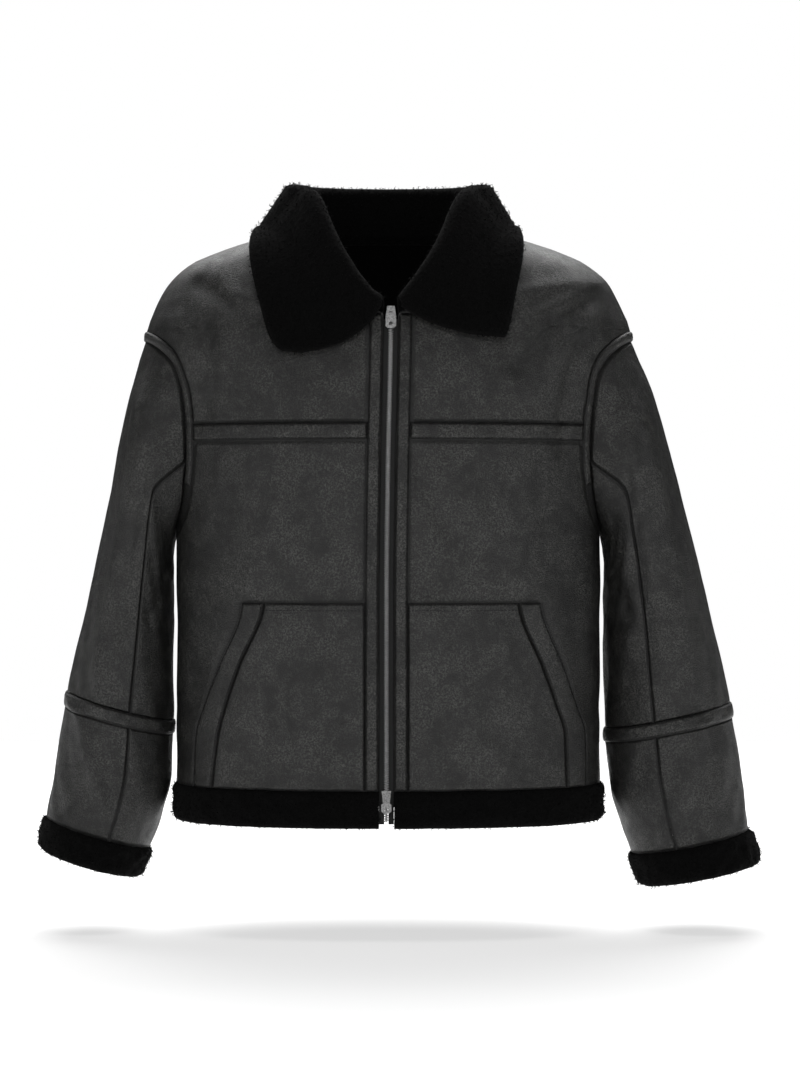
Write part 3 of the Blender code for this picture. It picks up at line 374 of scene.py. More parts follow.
def skin(side, angle, height):
    """Outer face of the body: angle 0 is the front middle, 90 the side, 180 the back."""
    angle, height = np.broadcast_arrays(np.asarray(angle, float), np.asarray(height, float))
    turn = np.radians(angle)
    across = half_width_at(height) * np.maximum(np.sin(turn), 0.0) ** ROUNDNESS
    front = -front_at(height) * np.maximum(np.cos(turn), 0.0) ** ROUNDNESS
    back = back_at(height) * np.maximum(-np.cos(turn), 0.0) ** ROUNDNESS
    ahead = angle <= 90
    depth = np.where(ahead, front, back)
    front_folds = [f for f in FOLDS if f["side"] == side and f["face"] == "front"]
    back_folds = [f for f in FOLDS if f["side"] == side and f["face"] == "back"]
    push = np.where(ahead, fold_sum(front_folds, across, height),
                    fold_sum(back_folds, across, height))
    push = push + ripple(side * across, height, np.where(ahead, 0.0, 1.7), 0.0040)
    away = unit(np.stack([across * 0.3, depth], axis=-1))
    return np.stack([side * (across + push * away[..., 0]), depth + push * away[..., 1], height],
                    axis=-1)


def skin_steps(side, angle, height):
    angle = np.asarray(angle, float)
    more = np.minimum(angle + 1.0, 180.0)
    less = np.maximum(angle - 1.0, 0.0)
    by_angle = (skin(side, more, height) - skin(side, less, height)) / (more - less)[..., None]
    middle = (angle >= 179.5) | (angle <= 0.5)
    by_angle[..., 1:] = np.where(middle[..., None], 0.0, by_angle[..., 1:])
    height = np.asarray(height, float)
    by_height = (skin(side, angle, height + 0.002) - skin(side, angle, height - 0.002)) / 0.004
    return by_angle, by_height


def skin_normal(side, angle, height):
    by_angle, by_height = skin_steps(side, angle, height)
    normal = unit(np.cross(by_angle, by_height)) * side
    level = np.asarray(height, float) <= HEM_TOP
    normal[..., 2] = np.where(level, 0.0, normal[..., 2])
    return unit(normal)


def angle_at(across, height):
    share = np.clip(across / half_width_at(height), 0.0, 1.0)
    return np.degrees(np.arcsin(share ** (1 / ROUNDNESS)))


def slide(side, angle, height, step):
    target = skin(side, angle, height) + step
    for _ in range(4):
        by_angle, by_height = skin_steps(side, angle, height)
        rest = target - skin(side, angle, height)
        aa = (by_angle * by_angle).sum(-1)
        ah = (by_angle * by_height).sum(-1)
        hh = (by_height * by_height).sum(-1)
        ra = (rest * by_angle).sum(-1)
        rh = (rest * by_height).sum(-1)
        whole = aa * hh - ah * ah
        angle = angle + (ra * hh - rh * ah) / whole
        height = height + (rh * aa - ra * ah) / whole
    return angle, height


print("body ring at the chest", round(float(half_width_at(-0.3)) * 2, 3), "m wide")

# %% [markdown]
# Where two panels meet at a corner, as at the armhole and the neck, both walls end on
# the same slanted face, a hair apart, so that they meet like two sewn edges and neither
# cuts into the other.

# %% armhole and neck seams


def arm_place(turn):
    turn = np.asarray(turn, float)
    plain = np.where(turn <= 180, turn, 360 - turn)
    spread = spread_at(plain)
    angle = np.where(turn <= 180, 90 - spread, 90 + spread)
    return angle, ARM_MIDDLE + ARM_HALF * np.cos(np.radians(plain))


def ring(row, side, turn):
    turn = np.radians(np.asarray(turn, float))[..., None]
    outer = np.array([side * row["outer_x"], row["middle_y"], row["outer_z"]])
    inner = np.array([side * row["inner_x"], row["middle_y"], row["inner_z"]])
    lean = np.array([0.0, -row["half_depth"], 0.0])
    return (outer + inner) / 2 + (outer - inner) / 2 * np.cos(turn) + lean * np.sin(turn)


def arm_seam(side, turn):
    turn = np.asarray(turn, float)
    angle, height = arm_place(turn)
    point = skin(side, angle, height)
    along = unit(skin(side, *arm_place((turn + 2) % 360)) - skin(side, *arm_place((turn - 2) % 360)))
    hub = np.array([side * 0.252, 0.0, ARM_MIDDLE])
    body_normal = skin_normal(side, angle, height)
    down = unit(ring(SLEEVES[side][0], side, turn) - point)
    sleeve_normal = unit(np.cross(along, down))
    sleeve_normal *= np.sign((sleeve_normal * (point - hub)).sum(-1))[..., None]
    wall = -unit(body_normal + sleeve_normal)
    across = unit(np.cross(wall, along))
    across *= np.sign((across * down).sum(-1))[..., None]
    away = unit(np.cross(body_normal, along))
    away *= np.sign((away * (point - hub)).sum(-1))[..., None]
    lean = np.maximum(-(wall * body_normal).sum(-1), 0.1)
    deep = HIDE * np.minimum(1.3, 1 / lean)
    band_angle, band_height = slide(side, angle, height, away * ARM_BAND)
    band_angle = np.where((turn == 0) | (turn == 180) | (turn == 360), 90.0, band_angle)
    return {"angle": angle, "height": height, "point": point, "wall": wall * deep[..., None],
            "across": across, "band_angle": band_angle, "band_height": band_height,
            "normal": body_normal}


STATIONS = np.linspace(0, 16, 129)
station_height = column(NECK, "station", "height")
rise_at = column(STAND, "station", "rise")
lean_at = column(STAND, "station", "lean")


def neck_place(side, station):
    station = np.asarray(station, float)
    height = np.where(station <= 7, station_height(np.minimum(station, 7)), NECK_SIDE)
    first = 0.0033 * side * np.clip(1 - station, 0, 1)
    front = angle_at(neck_at(height) + first, height)
    start = angle_at(neck_at(NECK_SIDE), NECK_SIDE)
    angle = np.where(station <= 7, front, start + (90 - start) * (station - 7))
    angle = np.where(station > 8, 90 + 90 * (station - 8) / 8, angle)
    return angle, height


def neck_seam(side, station):
    station = np.asarray(station, float)
    angle, height = neck_place(side, station)
    point = skin(side, angle, height)
    ahead = skin(side, *neck_place(side, np.minimum(station + 0.5, 16)))
    behind = skin(side, *neck_place(side, np.maximum(station - 0.5, 0)))
    along = unit(ahead - behind)
    along = np.where((station >= 16)[..., None], np.array([-side, 0.0, 0.0]), along)
    inward = unit(np.stack([-point[..., 0], -0.010 - point[..., 1], 0 * height], axis=-1))
    rise = unit(np.array([0.0, 0.0, 1.0]) + inward * lean_at(station)[..., None])
    share = np.minimum(station / 6, 1.0)[..., None]
    rise = unit(rise - along * (rise * along).sum(-1, keepdims=True) * share)
    outward = unit(np.cross(along, rise))
    outward *= -np.sign((outward * inward).sum(-1))[..., None]
    normal = skin_normal(side, angle, height)
    wall = -unit(normal + outward)
    across = unit(np.cross(wall, along))
    across *= np.sign((across * rise).sum(-1))[..., None]
    lean = np.maximum(-(wall * normal).sum(-1), 0.1)
    deep = HIDE * np.minimum(1.25, 1 / lean)
    return {"point": point, "wall": wall * deep[..., None], "across": across, "rise": rise,
            "outward": outward}


print("neck seam", len(STATIONS), "stations a side")

# %% [markdown]
# A sheet is two faces with the same cells and a rim all round. The outer face is leather,
# the inner one cropped wool, and a helper moves the edges of a grid half a seam into the
# piece.

# %% sheets


class Sheet:
    def __init__(self):
        self.outer = []
        self.inner = []
        self.edge = []
        self.cells = []
        self.count = 0

    def points(self, outer, inner, edge=None):
        shape = outer.shape[:-1]
        ids = np.arange(self.count, self.count + int(np.prod(shape))).reshape(shape)
        self.outer.append(outer.reshape(-1, 3))
        self.inner.append(inner.reshape(-1, 3))
        self.edge.append(np.ones(ids.size) if edge is None else edge.reshape(-1))
        self.count += ids.size
        return ids

    def lattice(self, ids):
        cells = np.stack([ids[:-1, :-1], ids[:-1, 1:], ids[1:, 1:], ids[1:, :-1]], axis=-1)
        self.cells.append(cells.reshape(-1, 4))

    def make(self, name, outside, inside, rim_inside=False):
        outer = np.concatenate(self.outer)
        inner = np.concatenate(self.inner)
        cells = np.concatenate(self.cells)
        edges = {}
        for cell in cells.tolist():
            for k in range(4):
                edge = (cell[k], cell[(k + 1) % 4])
                key = (min(edge), max(edge))
                if key in edges:
                    del edges[key]
                else:
                    edges[key] = edge
        rim = [(b, a, a + self.count, b + self.count) for a, b in edges.values()]
        faces = cells.tolist() + (cells[:, ::-1] + self.count).tolist() + rim
        kinds = [0] * len(cells) + [1] * len(cells) + [1 if rim_inside else 0] * len(rim)
        piece = make_piece(name, np.concatenate([outer, inner]), faces, (outside, inside), kinds)
        # The edge weight is 0 on seam lines; the leather shader darkens its colour there, painted
        # seam shade.
        edge = np.concatenate(self.edge * 2)
        piece.data.attributes.new("edge", "FLOAT", "POINT").data.foreach_set("value", edge)
        return piece


def make_piece(name, points, faces, materials, kinds=None):
    mesh = bpy.data.meshes.new(name)
    mesh.from_pydata(np.asarray(points).tolist(), [], faces)
    for material in materials:
        mesh.materials.append(material)
    if kinds is not None:
        mesh.polygons.foreach_set("material_index", kinds)
    work = bmesh.new()
    work.from_mesh(mesh)
    bmesh.ops.recalc_face_normals(work, faces=work.faces[:])
    work.to_mesh(mesh)
    work.free()
    mesh.polygons.foreach_set("use_smooth", [True] * len(mesh.polygons))
    mesh.update()
    piece = bpy.data.objects.new(name, mesh)
    bpy.context.scene.collection.objects.link(piece)
    return piece


def pull_in(points, top=0.0, bottom=0.0, start=0.0, end=0.0):
    """A grid of points with each named edge moved into the piece by a distance."""
    moved = points.copy()
    if top:
        moved[0] += unit(points[1] - points[0]) * top
    if bottom:
        moved[-1] += unit(points[-2] - points[-1]) * bottom
    if start:
        moved[:, 0] += unit(points[:, 1] - points[:, 0]) * start
    if end:
        moved[:, -1] += unit(points[:, -2] - points[:, -1]) * end
    return moved


def finer(values, parts):
    """A list of row values with each step split into equal parts."""
    values = np.asarray(values, float)
    places = np.arange((len(values) - 1) * parts + 1) / parts
    return np.interp(places, np.arange(len(values)), values)


def side_name(side):
    return "left" if side == LEFT else "right"


def declare(piece, node, rests):
    """Hides the CAD node that a sheet stands for and attaches the sheet to the jacket; its cut is
    looked up in CUTS but not used.
    """
    kind = node.replace("_left", "").replace("_right", "")
    cut = [row for row in CUTS if row["kind"] == kind][0]
    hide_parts(node)
    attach(piece, "jacket")


print("seam", SEAM * 1000, "mm")

# %% [markdown]
# The finishes come next. Small shader expressions are easier to read as arithmetic than
# as a web of nodes, so a wrapper class lets sockets be added and multiplied in Python.

# %% shader arithmetic


class Wire:
    """One output socket of a material's node tree, with ordinary arithmetic."""

    def __init__(self, tree, socket):
        self.tree = tree
        self.socket = socket

    def node(self, kind, settings=None, **values):
        made = self.tree.nodes.new(kind)
        for key, value in (settings or {}).items():
            setattr(made, key, value)
        for key, value in values.items():
            place = made.inputs[key.replace("_", " ")]
            if isinstance(value, Wire):
                self.tree.links.new(value.socket, place)
            else:
                place.default_value = value
        return made

    def math(self, operation, *values):
        made = self.tree.nodes.new("ShaderNodeMath")
        made.operation = operation
        for place, value in zip(made.inputs, values):
            if isinstance(value, Wire):
                self.tree.links.new(value.socket, place)
            else:
                place.default_value = value
        return Wire(self.tree, made.outputs[0])

    def __add__(self, other):
        return self.math("ADD", self, other)

    def __radd__(self, other):
        return self.math("ADD", other, self)

    def __sub__(self, other):
        return self.math("SUBTRACT", self, other)

    def __rsub__(self, other):
        return self.math("SUBTRACT", other, self)

    def __mul__(self, other):
        return self.math("MULTIPLY", self, other)

    def __rmul__(self, other):
        return self.math("MULTIPLY", other, self)

    def ramp(self, low, high):
        made = self.node("ShaderNodeMapRange", {"interpolation_type": "SMOOTHSTEP"},
                         Value=self, From_Min=low, From_Max=high)
        return Wire(self.tree, made.outputs["Result"])

    def mix(self, low, high):
        made = self.node("ShaderNodeMix", {"data_type": "RGBA"})
        self.tree.links.new(self.socket, made.inputs["Factor"])
        made.inputs[6].default_value = (*low, 1.0)
        made.inputs[7].default_value = (*high, 1.0)
        return Wire(self.tree, made.outputs[2])


def new_material(name):
    made = bpy.data.materials.new(name)
    made.use_nodes = True
    shader = made.node_tree.nodes["Principled BSDF"]
    place = made.node_tree.nodes.new("ShaderNodeTexCoord")
    return made, shader, Wire(made.node_tree, place.outputs["Object"])


def feed(shader, **sockets):
    for key, value in sockets.items():
        place = shader.inputs[key.replace("_", " ")]
        if isinstance(value, Wire):
            value.tree.links.new(value.socket, place)
        else:
            place.default_value = value


def noise(place, scale, detail=2.0, rough=0.5):
    made = place.node("ShaderNodeTexNoise", None, Vector=place, Scale=scale, Detail=detail,
                      Roughness=rough)
    return Wire(place.tree, made.outputs["Fac"])


def voronoi(place, scale, feature="F1"):
    made = place.node("ShaderNodeTexVoronoi", {"feature": feature}, Vector=place, Scale=scale)
    return Wire(place.tree, made.outputs["Distance"])


def bump(place, height, distance, strength=1.0):
    made = place.node("ShaderNodeBump", None, Height=height, Distance=distance, Strength=strength)
    return Wire(place.tree, made.outputs["Normal"])


# %% [markdown]
# Waxed sheepskin leather is nearly black, with pores and a fine pebble that break its
# highlights into grey specks. The dark colour hardly varies, so the mottling lies mostly in
# the roughness. Along every seam line the rubbed grey fades out, which paints shade into
# the seam grooves. The sewn bands are cut from a coarser skin, and get a deeper grain and a
# lighter grey, a painted highlight for the light on their raised middles.

# %% leather


def leather(name, dark, rubbed_and_lit_grey, grain, depth, rough):
    made, shader, place = new_material(name)
    found = place.node("ShaderNodeAttribute", {"attribute_name": "edge"})
    edge = Wire(place.tree, found.outputs["Fac"]).ramp(0.0, 0.9)
    patches = noise(place, 24.0, 5.0, 0.62)
    clouds = noise(place, 90.0, 4.0, 0.6)
    specks = noise(place, 520.0, 4.0, 0.72)
    pebble = voronoi(place, grain, "SMOOTH_F1")
    pores = noise(place, grain * 2.0, 3.0, 0.6)
    wear = patches.ramp(0.40, 0.57) * 0.6 + clouds.ramp(0.38, 0.62) * 0.4
    # Scaling the rubbed grey by the edge weight, which is 0 on seam lines, paints shade into the
    # seams.
    wear_and_seam_shade = specks.ramp(0.44, 0.60) * (wear * 0.9 + 0.1) * (edge * 0.85 + 0.15)
    feed(shader,
         Base_Color=wear_and_seam_shade.mix(dark, rubbed_and_lit_grey),
         Roughness=rough + specks * 0.34 - wear * 0.14 - edge * 0.08,
         Specular_IOR_Level=0.5,
         Normal=bump(place, pebble * 0.5 + pores * 0.4 + specks * 0.9 + edge * 1.5, depth))
    return made


LEATHER = leather("leather_outside", (0.0042, 0.0042, 0.0040), (0.056, 0.056, 0.052), 900.0,
                  0.00100, 0.38)
# The bands' lighter grey is a painted highlight for the light on their raised middles; their coarser
# grain is real.
BAND = leather("leather_band_outside", (0.0042, 0.0042, 0.0040), (0.070, 0.070, 0.065), 640.0,
               0.00130, 0.40)
print("leathers", LEATHER.name, BAND.name)

# %% [markdown]
# Wool swallows light: it is matte and near black, with only a faint sheen at grazing
# angles from its fibre tips.

# %% wool, tape, metal


def wool(name, shade, sheen):
    made, shader, place = new_material(name)
    curls = voronoi(place, 210.0, "SMOOTH_F1")
    fuzz = noise(place, 900.0, 2.0)
    feed(shader,
         Base_Color=fuzz.ramp(0.35, 0.7).mix((shade * 0.6,) * 3, (shade * 1.6,) * 3),
         Roughness=1.0, Specular_IOR_Level=0.06, Sheen_Weight=sheen, Sheen_Roughness=0.6,
         Normal=bump(place, curls * -0.6 + fuzz * 0.5, 0.0016))
    return made


def metal(name, shade, rough):
    made, shader, place = new_material(name)
    wear = noise(place, 700.0, 3.0)
    feed(shader,
         Base_Color=wear.ramp(0.4, 0.62).mix((shade * 0.55,) * 3, (shade,) * 3),
         Metallic=1.0, Roughness=rough + wear * 0.2,
         Normal=bump(place, wear, 0.00008))
    return made


def woven(name, shade):
    made, shader, place = new_material(name)
    ribs = place.node("ShaderNodeTexWave", {"bands_direction": "DIAGONAL"}, Vector=place, Scale=420.0)
    feed(shader, Base_Color=(shade, shade, shade, 1.0), Roughness=0.85,
         Normal=bump(place, Wire(place.tree, ribs.outputs["Fac"]), 0.0002))
    return made


WOOL = wool("wool_pile", 0.0022, 0.012)
LINING = wool("wool_lining", 0.0016, 0.008)
METAL = metal("zip_silver", 0.40, 0.28)
TAPE = woven("zip_weave", 0.006)
THREAD = woven("thread", 0.004)

# %% [markdown]
# The two fronts, the yokes and the back follow level rings of the body. Their rows end on
# a line a band's width outside the armhole, and a strip carries them from there to the
# slanted armhole seam.

# %% fronts and back
ARM_FINE = np.concatenate([np.linspace(0, 30, 7), np.linspace(33.3, 85.13, 17)])
ARM_LOW = np.concatenate([np.linspace(85.13, 94.87, 4), np.linspace(98.3, 150, 16),
                          np.linspace(156, 180, 5)])
RIDGE_FINE = finer((0.020, 0.015, 0.006, -0.012, -0.035, -0.055, -0.070, -0.080), 4)
SIDE_FINE = finer((-0.345, -0.372, POCKET_TOP, -0.430, -0.465, -0.500, -0.540, -0.575, HEM_TOP), 6)
PLACKET_CELLS = 4
FRONT_CELLS = 36
WELT_CELLS = 6
SIDE_CELLS = 9
BACK_CELLS = 64
STRIP = np.linspace(0, 1, 5)
HALF = SEAM / 2


def rows_of(side, face, heights=(), turns=()):
    turns = np.asarray(turns, float)
    seam = None
    parts_height = [np.asarray(heights, float)]
    parts_end = [np.full(len(heights), 90.0)]
    if len(turns):
        seam = arm_seam(side, turns if face == "front" else (360 - turns) % 360)
        parts_height.append(seam["band_height"])
        parts_end.append(np.where((turns == 0) | (turns == 180), 90.0, seam["band_angle"]))
    return parts_height, parts_end, seam


def neck_gap(side, height):
    blend = np.clip((-0.070 - height) / 0.010, 0, 1)
    above = neck_at(height) + side * 0.0033 * blend
    return np.where(height > NECK_FRONT, above, EDGE_GAP + side * zip_at(height))


def front_columns(side, height, end, lower):
    gap = neck_gap(side, height)
    first = angle_at(gap, height)
    second = np.minimum(angle_at(gap + PLACKET, height), first + (end - first) / 8)
    second = np.where(height < NECK_FRONT, angle_at(gap + PLACKET, height), second)
    parts = [first + (second - first) * k / PLACKET_CELLS for k in range(PLACKET_CELLS)]
    if not lower:
        total = FRONT_CELLS + WELT_CELLS + SIDE_CELLS
        parts += [second + (end - second) * k / total for k in range(total + 1)]
        return np.stack(parts, axis=-1)
    name = side_name(side)
    inner = angle_at(column(POCKETS[::-1][::-1], "height", name + "_inner")(height), height)
    outer = angle_at(column(POCKETS, "height", name + "_outer")(height), height)
    parts += [second + (inner - second) * k / FRONT_CELLS for k in range(FRONT_CELLS)]
    parts += [inner + (outer - inner) * k / WELT_CELLS for k in range(WELT_CELLS)]
    parts += [outer + (end - outer) * k / SIDE_CELLS for k in range(SIDE_CELLS + 1)]
    return np.stack(parts, axis=-1)


def strip_points(side, seam, half):
    """Points from the band's line to the armhole seam, with their walls."""
    share = STRIP[None, :]
    angle = seam["band_angle"][:, None] * (1 - share) + seam["angle"][:, None] * share
    height = seam["band_height"][:, None] * (1 - share) + seam["height"][:, None] * share
    points = skin(side, angle, height)
    normals = skin_normal(side, angle, height)
    wall = -normals * HIDE * (1 - share[..., None]) + seam["wall"][:, None] * share[..., None]
    points[:, -1] -= seam["across"] * half
    return points, wall, normals


def front_panel(side, lower):
    if lower:
        arm_height, arm_end, seam = rows_of(side, "front", (), ARM_LOW)
        height = np.concatenate([arm_height[1], SIDE_FINE])
        end = np.concatenate([arm_end[1], np.full(len(SIDE_FINE), 90.0)])
        arm_rows = slice(0, len(ARM_LOW))
    else:
        arm_height, arm_end, seam = rows_of(side, "front", (), ARM_FINE)
        height = np.concatenate([RIDGE_FINE, arm_height[1]])
        end = np.concatenate([np.full(len(RIDGE_FINE), 90.0), arm_end[1]])
        arm_rows = slice(len(RIDGE_FINE), len(height))
    angles = front_columns(side, height, end, lower)
    level = np.broadcast_to(height[:, None], angles.shape)
    points = skin(side, angles, level)
    normals = skin_normal(side, angles, level)
    moved = pull_in(points, top=HALF if lower else 0.0, bottom=HALF, end=0.0)
    wall = -normals * HIDE
    if not lower:
        count = len(RIDGE_FINE)
        station = np.interp(-RIDGE_FINE, -station_height(STATIONS[:57])[::-1], STATIONS[:57][::-1])
        here = neck_seam(side, station)
        moved[:count, 0] -= here["across"] * HALF
        wall[:count, 0] = here["wall"]
        across_top = np.linspace(0, 1, moved.shape[1])
        top = neck_seam(side, 7 + across_top)
        moved[0] = points[0] - top["across"] * HALF
        wall[0] = top["wall"]
    # Edge weight 0 marks seam lines, where the leather colour is darkened as painted seam shade.
    edge = np.ones(moved.shape[:2])
    below = height <= NECK_FRONT
    edge[below, :PLACKET_CELLS + 1] = 0.0
    edge[arm_rows, -1] = 0.0
    if lower:
        pocket_row = len(ARM_LOW) + list(SIDE_FINE).index(POCKET_TOP)
        edge[:4] = 0.0
        edge[pocket_row, :-SIDE_CELLS] = 0.0
        edge[pocket_row:, -SIDE_CELLS - 1] = 0.0
    else:
        edge[-1] = 0.0
    edge[-1] = 0.0
    sheet = Sheet()
    ids = sheet.points(moved, moved + wall, edge)
    sheet.lattice(ids)
    strip, strip_wall, strip_normal = strip_points(side, seam, HALF)
    strip_ids = sheet.points(strip[:, 1:], (strip + strip_wall)[:, 1:],
                             np.zeros(strip.shape[:2])[:, 1:])
    sheet.lattice(np.concatenate([ids[arm_rows, -1][:, None], strip_ids], axis=1))
    kind = "front_" if lower else "front_yoke_"
    node = kind + side_name(side)
    piece = sheet.make("fine_" + node, LEATHER, LINING)
    return {"piece": piece, "node": node, "points": points, "normals": normals, "angles": angles,
            "height": height, "seam": seam, "strip": strip, "strip_normal": strip_normal,
            "arm_rows": arm_rows}


def back_panel():
    lines = {}
    for side in (LEFT, RIGHT):
        turns = np.concatenate([ARM_FINE, ARM_LOW[1:]])
        arm_height, arm_end, seam = rows_of(side, "back", (), turns)
        height = np.concatenate([RIDGE_FINE, arm_height[1], SIDE_FINE])
        end = np.concatenate([np.full(len(RIDGE_FINE), 90.0), arm_end[1],
                              np.full(len(SIDE_FINE), 90.0)])
        share = np.linspace(0, 1, BACK_CELLS + 1)[None, :]
        angles = end[:, None] + (180 - end[:, None]) * share
        level = np.broadcast_to(height[:, None], angles.shape)
        lines[side] = (skin(side, angles, level), skin_normal(side, angles, level), seam)
    points = np.concatenate([lines[LEFT][0], lines[RIGHT][0][:, -2::-1]], axis=1)
    normals = np.concatenate([lines[LEFT][1], lines[RIGHT][1][:, -2::-1]], axis=1)
    middle = BACK_CELLS
    points[:, middle] = (lines[LEFT][0][:, -1] + lines[RIGHT][0][:, -1]) / 2
    moved = pull_in(points, bottom=HALF)
    wall = -normals * HIDE
    stations = 8 + 8 * np.linspace(0, 1, BACK_CELLS + 1)
    left = neck_seam(LEFT, stations)
    right = neck_seam(RIGHT, stations[-2::-1])
    across = np.concatenate([left["across"], right["across"]])
    top_wall = np.concatenate([left["wall"], right["wall"]])
    moved[0] = points[0] - across * HALF
    wall[0] = top_wall
    sheet = Sheet()
    ids = sheet.points(moved, moved + wall)
    sheet.lattice(ids)
    first = len(RIDGE_FINE)
    count = len(ARM_FINE) + len(ARM_LOW) - 1
    for side, edge in ((LEFT, 0), (RIGHT, -1)):
        strip, strip_wall, strip_normal = strip_points(side, lines[side][2], HALF)
        more = sheet.points(strip[:, 1:], (strip + strip_wall)[:, 1:])
        column_ids = ids[first:first + count, edge][:, None]
        sheet.lattice(np.concatenate([column_ids, more], axis=1))
    piece = sheet.make("fine_back", LEATHER, LINING)
    declare(piece, "back", ["front_yoke_left", "front_yoke_right"])
    return piece


FRONT = {}
YOKE = {}
for side in (LEFT, RIGHT):
    YOKE[side] = front_panel(side, False)
    FRONT[side] = front_panel(side, True)
    declare(YOKE[side]["piece"], YOKE[side]["node"], ["back"])
    declare(FRONT[side]["piece"], FRONT[side]["node"], [YOKE[side]["node"]])
BACK = back_panel()
print("back faces", len(BACK.data.polygons))

# %% [markdown]
# Bands, plackets, pockets and welts are sewn onto the panels. Each is made from the
# panel's own points, moved out by its thickness, with edges that round down to the seam.

# %% overlays


ROUND = 0.0055


def resampled(values, places, axis):
    """Lines of a grid read at other places along one axis."""
    low = np.clip(np.floor(places).astype(int), 0, values.shape[axis] - 2)
    share = places - low
    shape = [1] * values.ndim
    shape[axis] = len(places)
    share = share.reshape(shape)
    return np.take(values, low, axis) * (1 - share) + np.take(values, low + 1, axis) * share


def refined(count):
    """Places along a line of cells, with two more just inside either end."""
    inner = np.arange(1, count)
    return np.concatenate([[0, 0.3, 0.65], inner, [count - 0.65, count - 0.3, count]])


def lengths(points, axis):
    step = np.linalg.norm(np.diff(points, axis=axis), axis=-1)
    start = np.zeros_like(np.take(step, [0], axis))
    return np.concatenate([start, np.cumsum(step, axis=axis)], axis=axis)


def overlay(node, material, points, normals, thick, rounding=ROUND, fill=0.0):
    """A sewn-on piece: thin at its stitched edge, full inside, slightly puckered."""
    points = pull_in(points, HALF, HALF, HALF, HALF)
    for axis in (0, 1):
        places = refined(points.shape[axis] - 1)
        points = resampled(points, places, axis)
        normals = resampled(normals, places, axis)
    normals = unit(normals)
    down = lengths(points, 0)
    side_way = lengths(points, 1)
    near = np.minimum(np.minimum(down, down[-1:] - down),
                      np.minimum(side_way, side_way[:, -1:] - side_way))
    share = np.clip(near / rounding, 0, 1)
    full = np.sqrt(1 - (1 - share) ** 2) * 0.88 + 0.12
    pucker = np.sin(down * 2 * math.pi / 0.0135 + 2 * np.sin(down * 61) + side_way * 90)
    pucker = pucker + np.sin(side_way * 2 * math.pi / 0.0152 + 2 * np.sin(side_way * 53) + down * 80)
    band = np.exp(-((near - 0.0045) / 0.003) ** 2)
    lift = (thick + fill) * full + pucker * band * 0.00022
    sheet = Sheet()
    # The edge weight falls to 0 at the stitched rim, where the leather colour is darkened as painted
    # seam shade.
    ids = sheet.points(points + normals * (SEAM + lift)[..., None], points + normals * SEAM,
                       np.clip(near / 0.0032, 0, 1))
    sheet.lattice(ids)
    return sheet.make("fine_" + node, material, material)


for side in (LEFT, RIGHT):
    name = side_name(side)
    yoke, front = YOKE[side], FRONT[side]
    count = PLACKET_CELLS + 1
    first = len(RIDGE_FINE) - 1
    line = np.concatenate([yoke["points"][first:-1, :count], front["points"][:, :count]])
    face = np.concatenate([yoke["normals"][first:-1, :count], front["normals"][:, :count]])
    piece = overlay("placket_" + name, BAND, line, face, TRIM, 0.0065, 0.0010)
    declare(piece, "placket_" + name, ["front_" + name])
    band_rows = 4
    piece = overlay("yoke_band_" + name, BAND, front["points"][:band_rows, PLACKET_CELLS:],
                    front["normals"][:band_rows, PLACKET_CELLS:], TRIM, 0.0075, 0.0010)
    declare(piece, "yoke_band_" + name, ["front_" + name])
    low = len(ARM_LOW) + list(SIDE_FINE).index(POCKET_TOP)
    pocket = slice(PLACKET_CELLS, PLACKET_CELLS + FRONT_CELLS + 1)
    piece = overlay("pocket_" + name, LEATHER, front["points"][low:, pocket],
                    front["normals"][low:, pocket], 0.0020)
    declare(piece, "pocket_" + name, ["front_" + name])
    welt = slice(PLACKET_CELLS + FRONT_CELLS, PLACKET_CELLS + FRONT_CELLS + WELT_CELLS + 1)
    piece = overlay("pocket_welt_" + name, LEATHER, front["points"][low:, welt],
                    front["normals"][low:, welt], 0.0032)
    declare(piece, "pocket_welt_" + name, ["front_" + name])
    turns = np.linspace(-122, 122, 82) % 360
    seam = arm_seam(side, turns)
    strip, strip_wall, strip_normal = strip_points(side, seam, 0.001)
    piece = overlay("armhole_band_" + name, BAND, strip, strip_normal, TRIM, 0.0055, 0.0008)
    declare(piece, "armhole_band_" + name, ["front_" + name, "back"])
print("overlays done")

# %% [markdown]
# Each sleeve is a tube from the armhole to the cuff, cut as an upper and an under piece,
# with a seam above the wrist for its band. Rows between the table's are read from curves
# along every seam line, so the tube has no facets.

# %% sleeves
SLEEVE_FOLDS = table(
    "side turn_a row_a turn_b row_b bow reach push",
    (LEFT, 52, 0.8, 64, 5.4, 0.006, 0.012, 0.0030),
    (LEFT, 92, 1.0, 86, 4.6, -0.006, 0.015, -0.0035),
    (LEFT, 150, 2.6, 120, 4.0, 0.004, 0.012, -0.0030),
    (LEFT, 40, 6.6, 100, 9.6, 0.006, 0.012, 0.0035),
    (LEFT, 300, 1.4, 290, 5.0, 0.008, 0.018, -0.0040),
    (LEFT, 250, 3.0, 210, 4.2, 0.004, 0.014, -0.0035),
    (LEFT, 270, 6.4, 240, 9.0, 0.006, 0.014, 0.0030),
    (RIGHT, 60, 0.9, 70, 5.5, -0.006, 0.014, 0.0032),
    (RIGHT, 100, 1.0, 104, 4.8, 0.006, 0.015, -0.0035),
    (RIGHT, 150, 2.4, 125, 3.9, -0.004, 0.012, -0.0030),
    (RIGHT, 62, 6.7, 118, 9.6, -0.006, 0.013, 0.0035),
    (RIGHT, 305, 1.2, 288, 5.2, -0.008, 0.018, -0.0040),
    (RIGHT, 255, 2.9, 215, 4.3, -0.004, 0.014, -0.0035),
    (RIGHT, 265, 6.5, 235, 9.2, -0.006, 0.014, 0.0030))
TURNS = np.arange(0, 360, 3.0)
ROW_STEPS = (10, 14, 14, 14, 14, 14, 4, 11, 8, 8)
ROW_PLACES = np.concatenate([np.arange(n) / n + k for k, n in enumerate(ROW_STEPS)] + [[10.0]])
METRES_A_TURN = 0.0015
METRES_A_ROW = 0.070


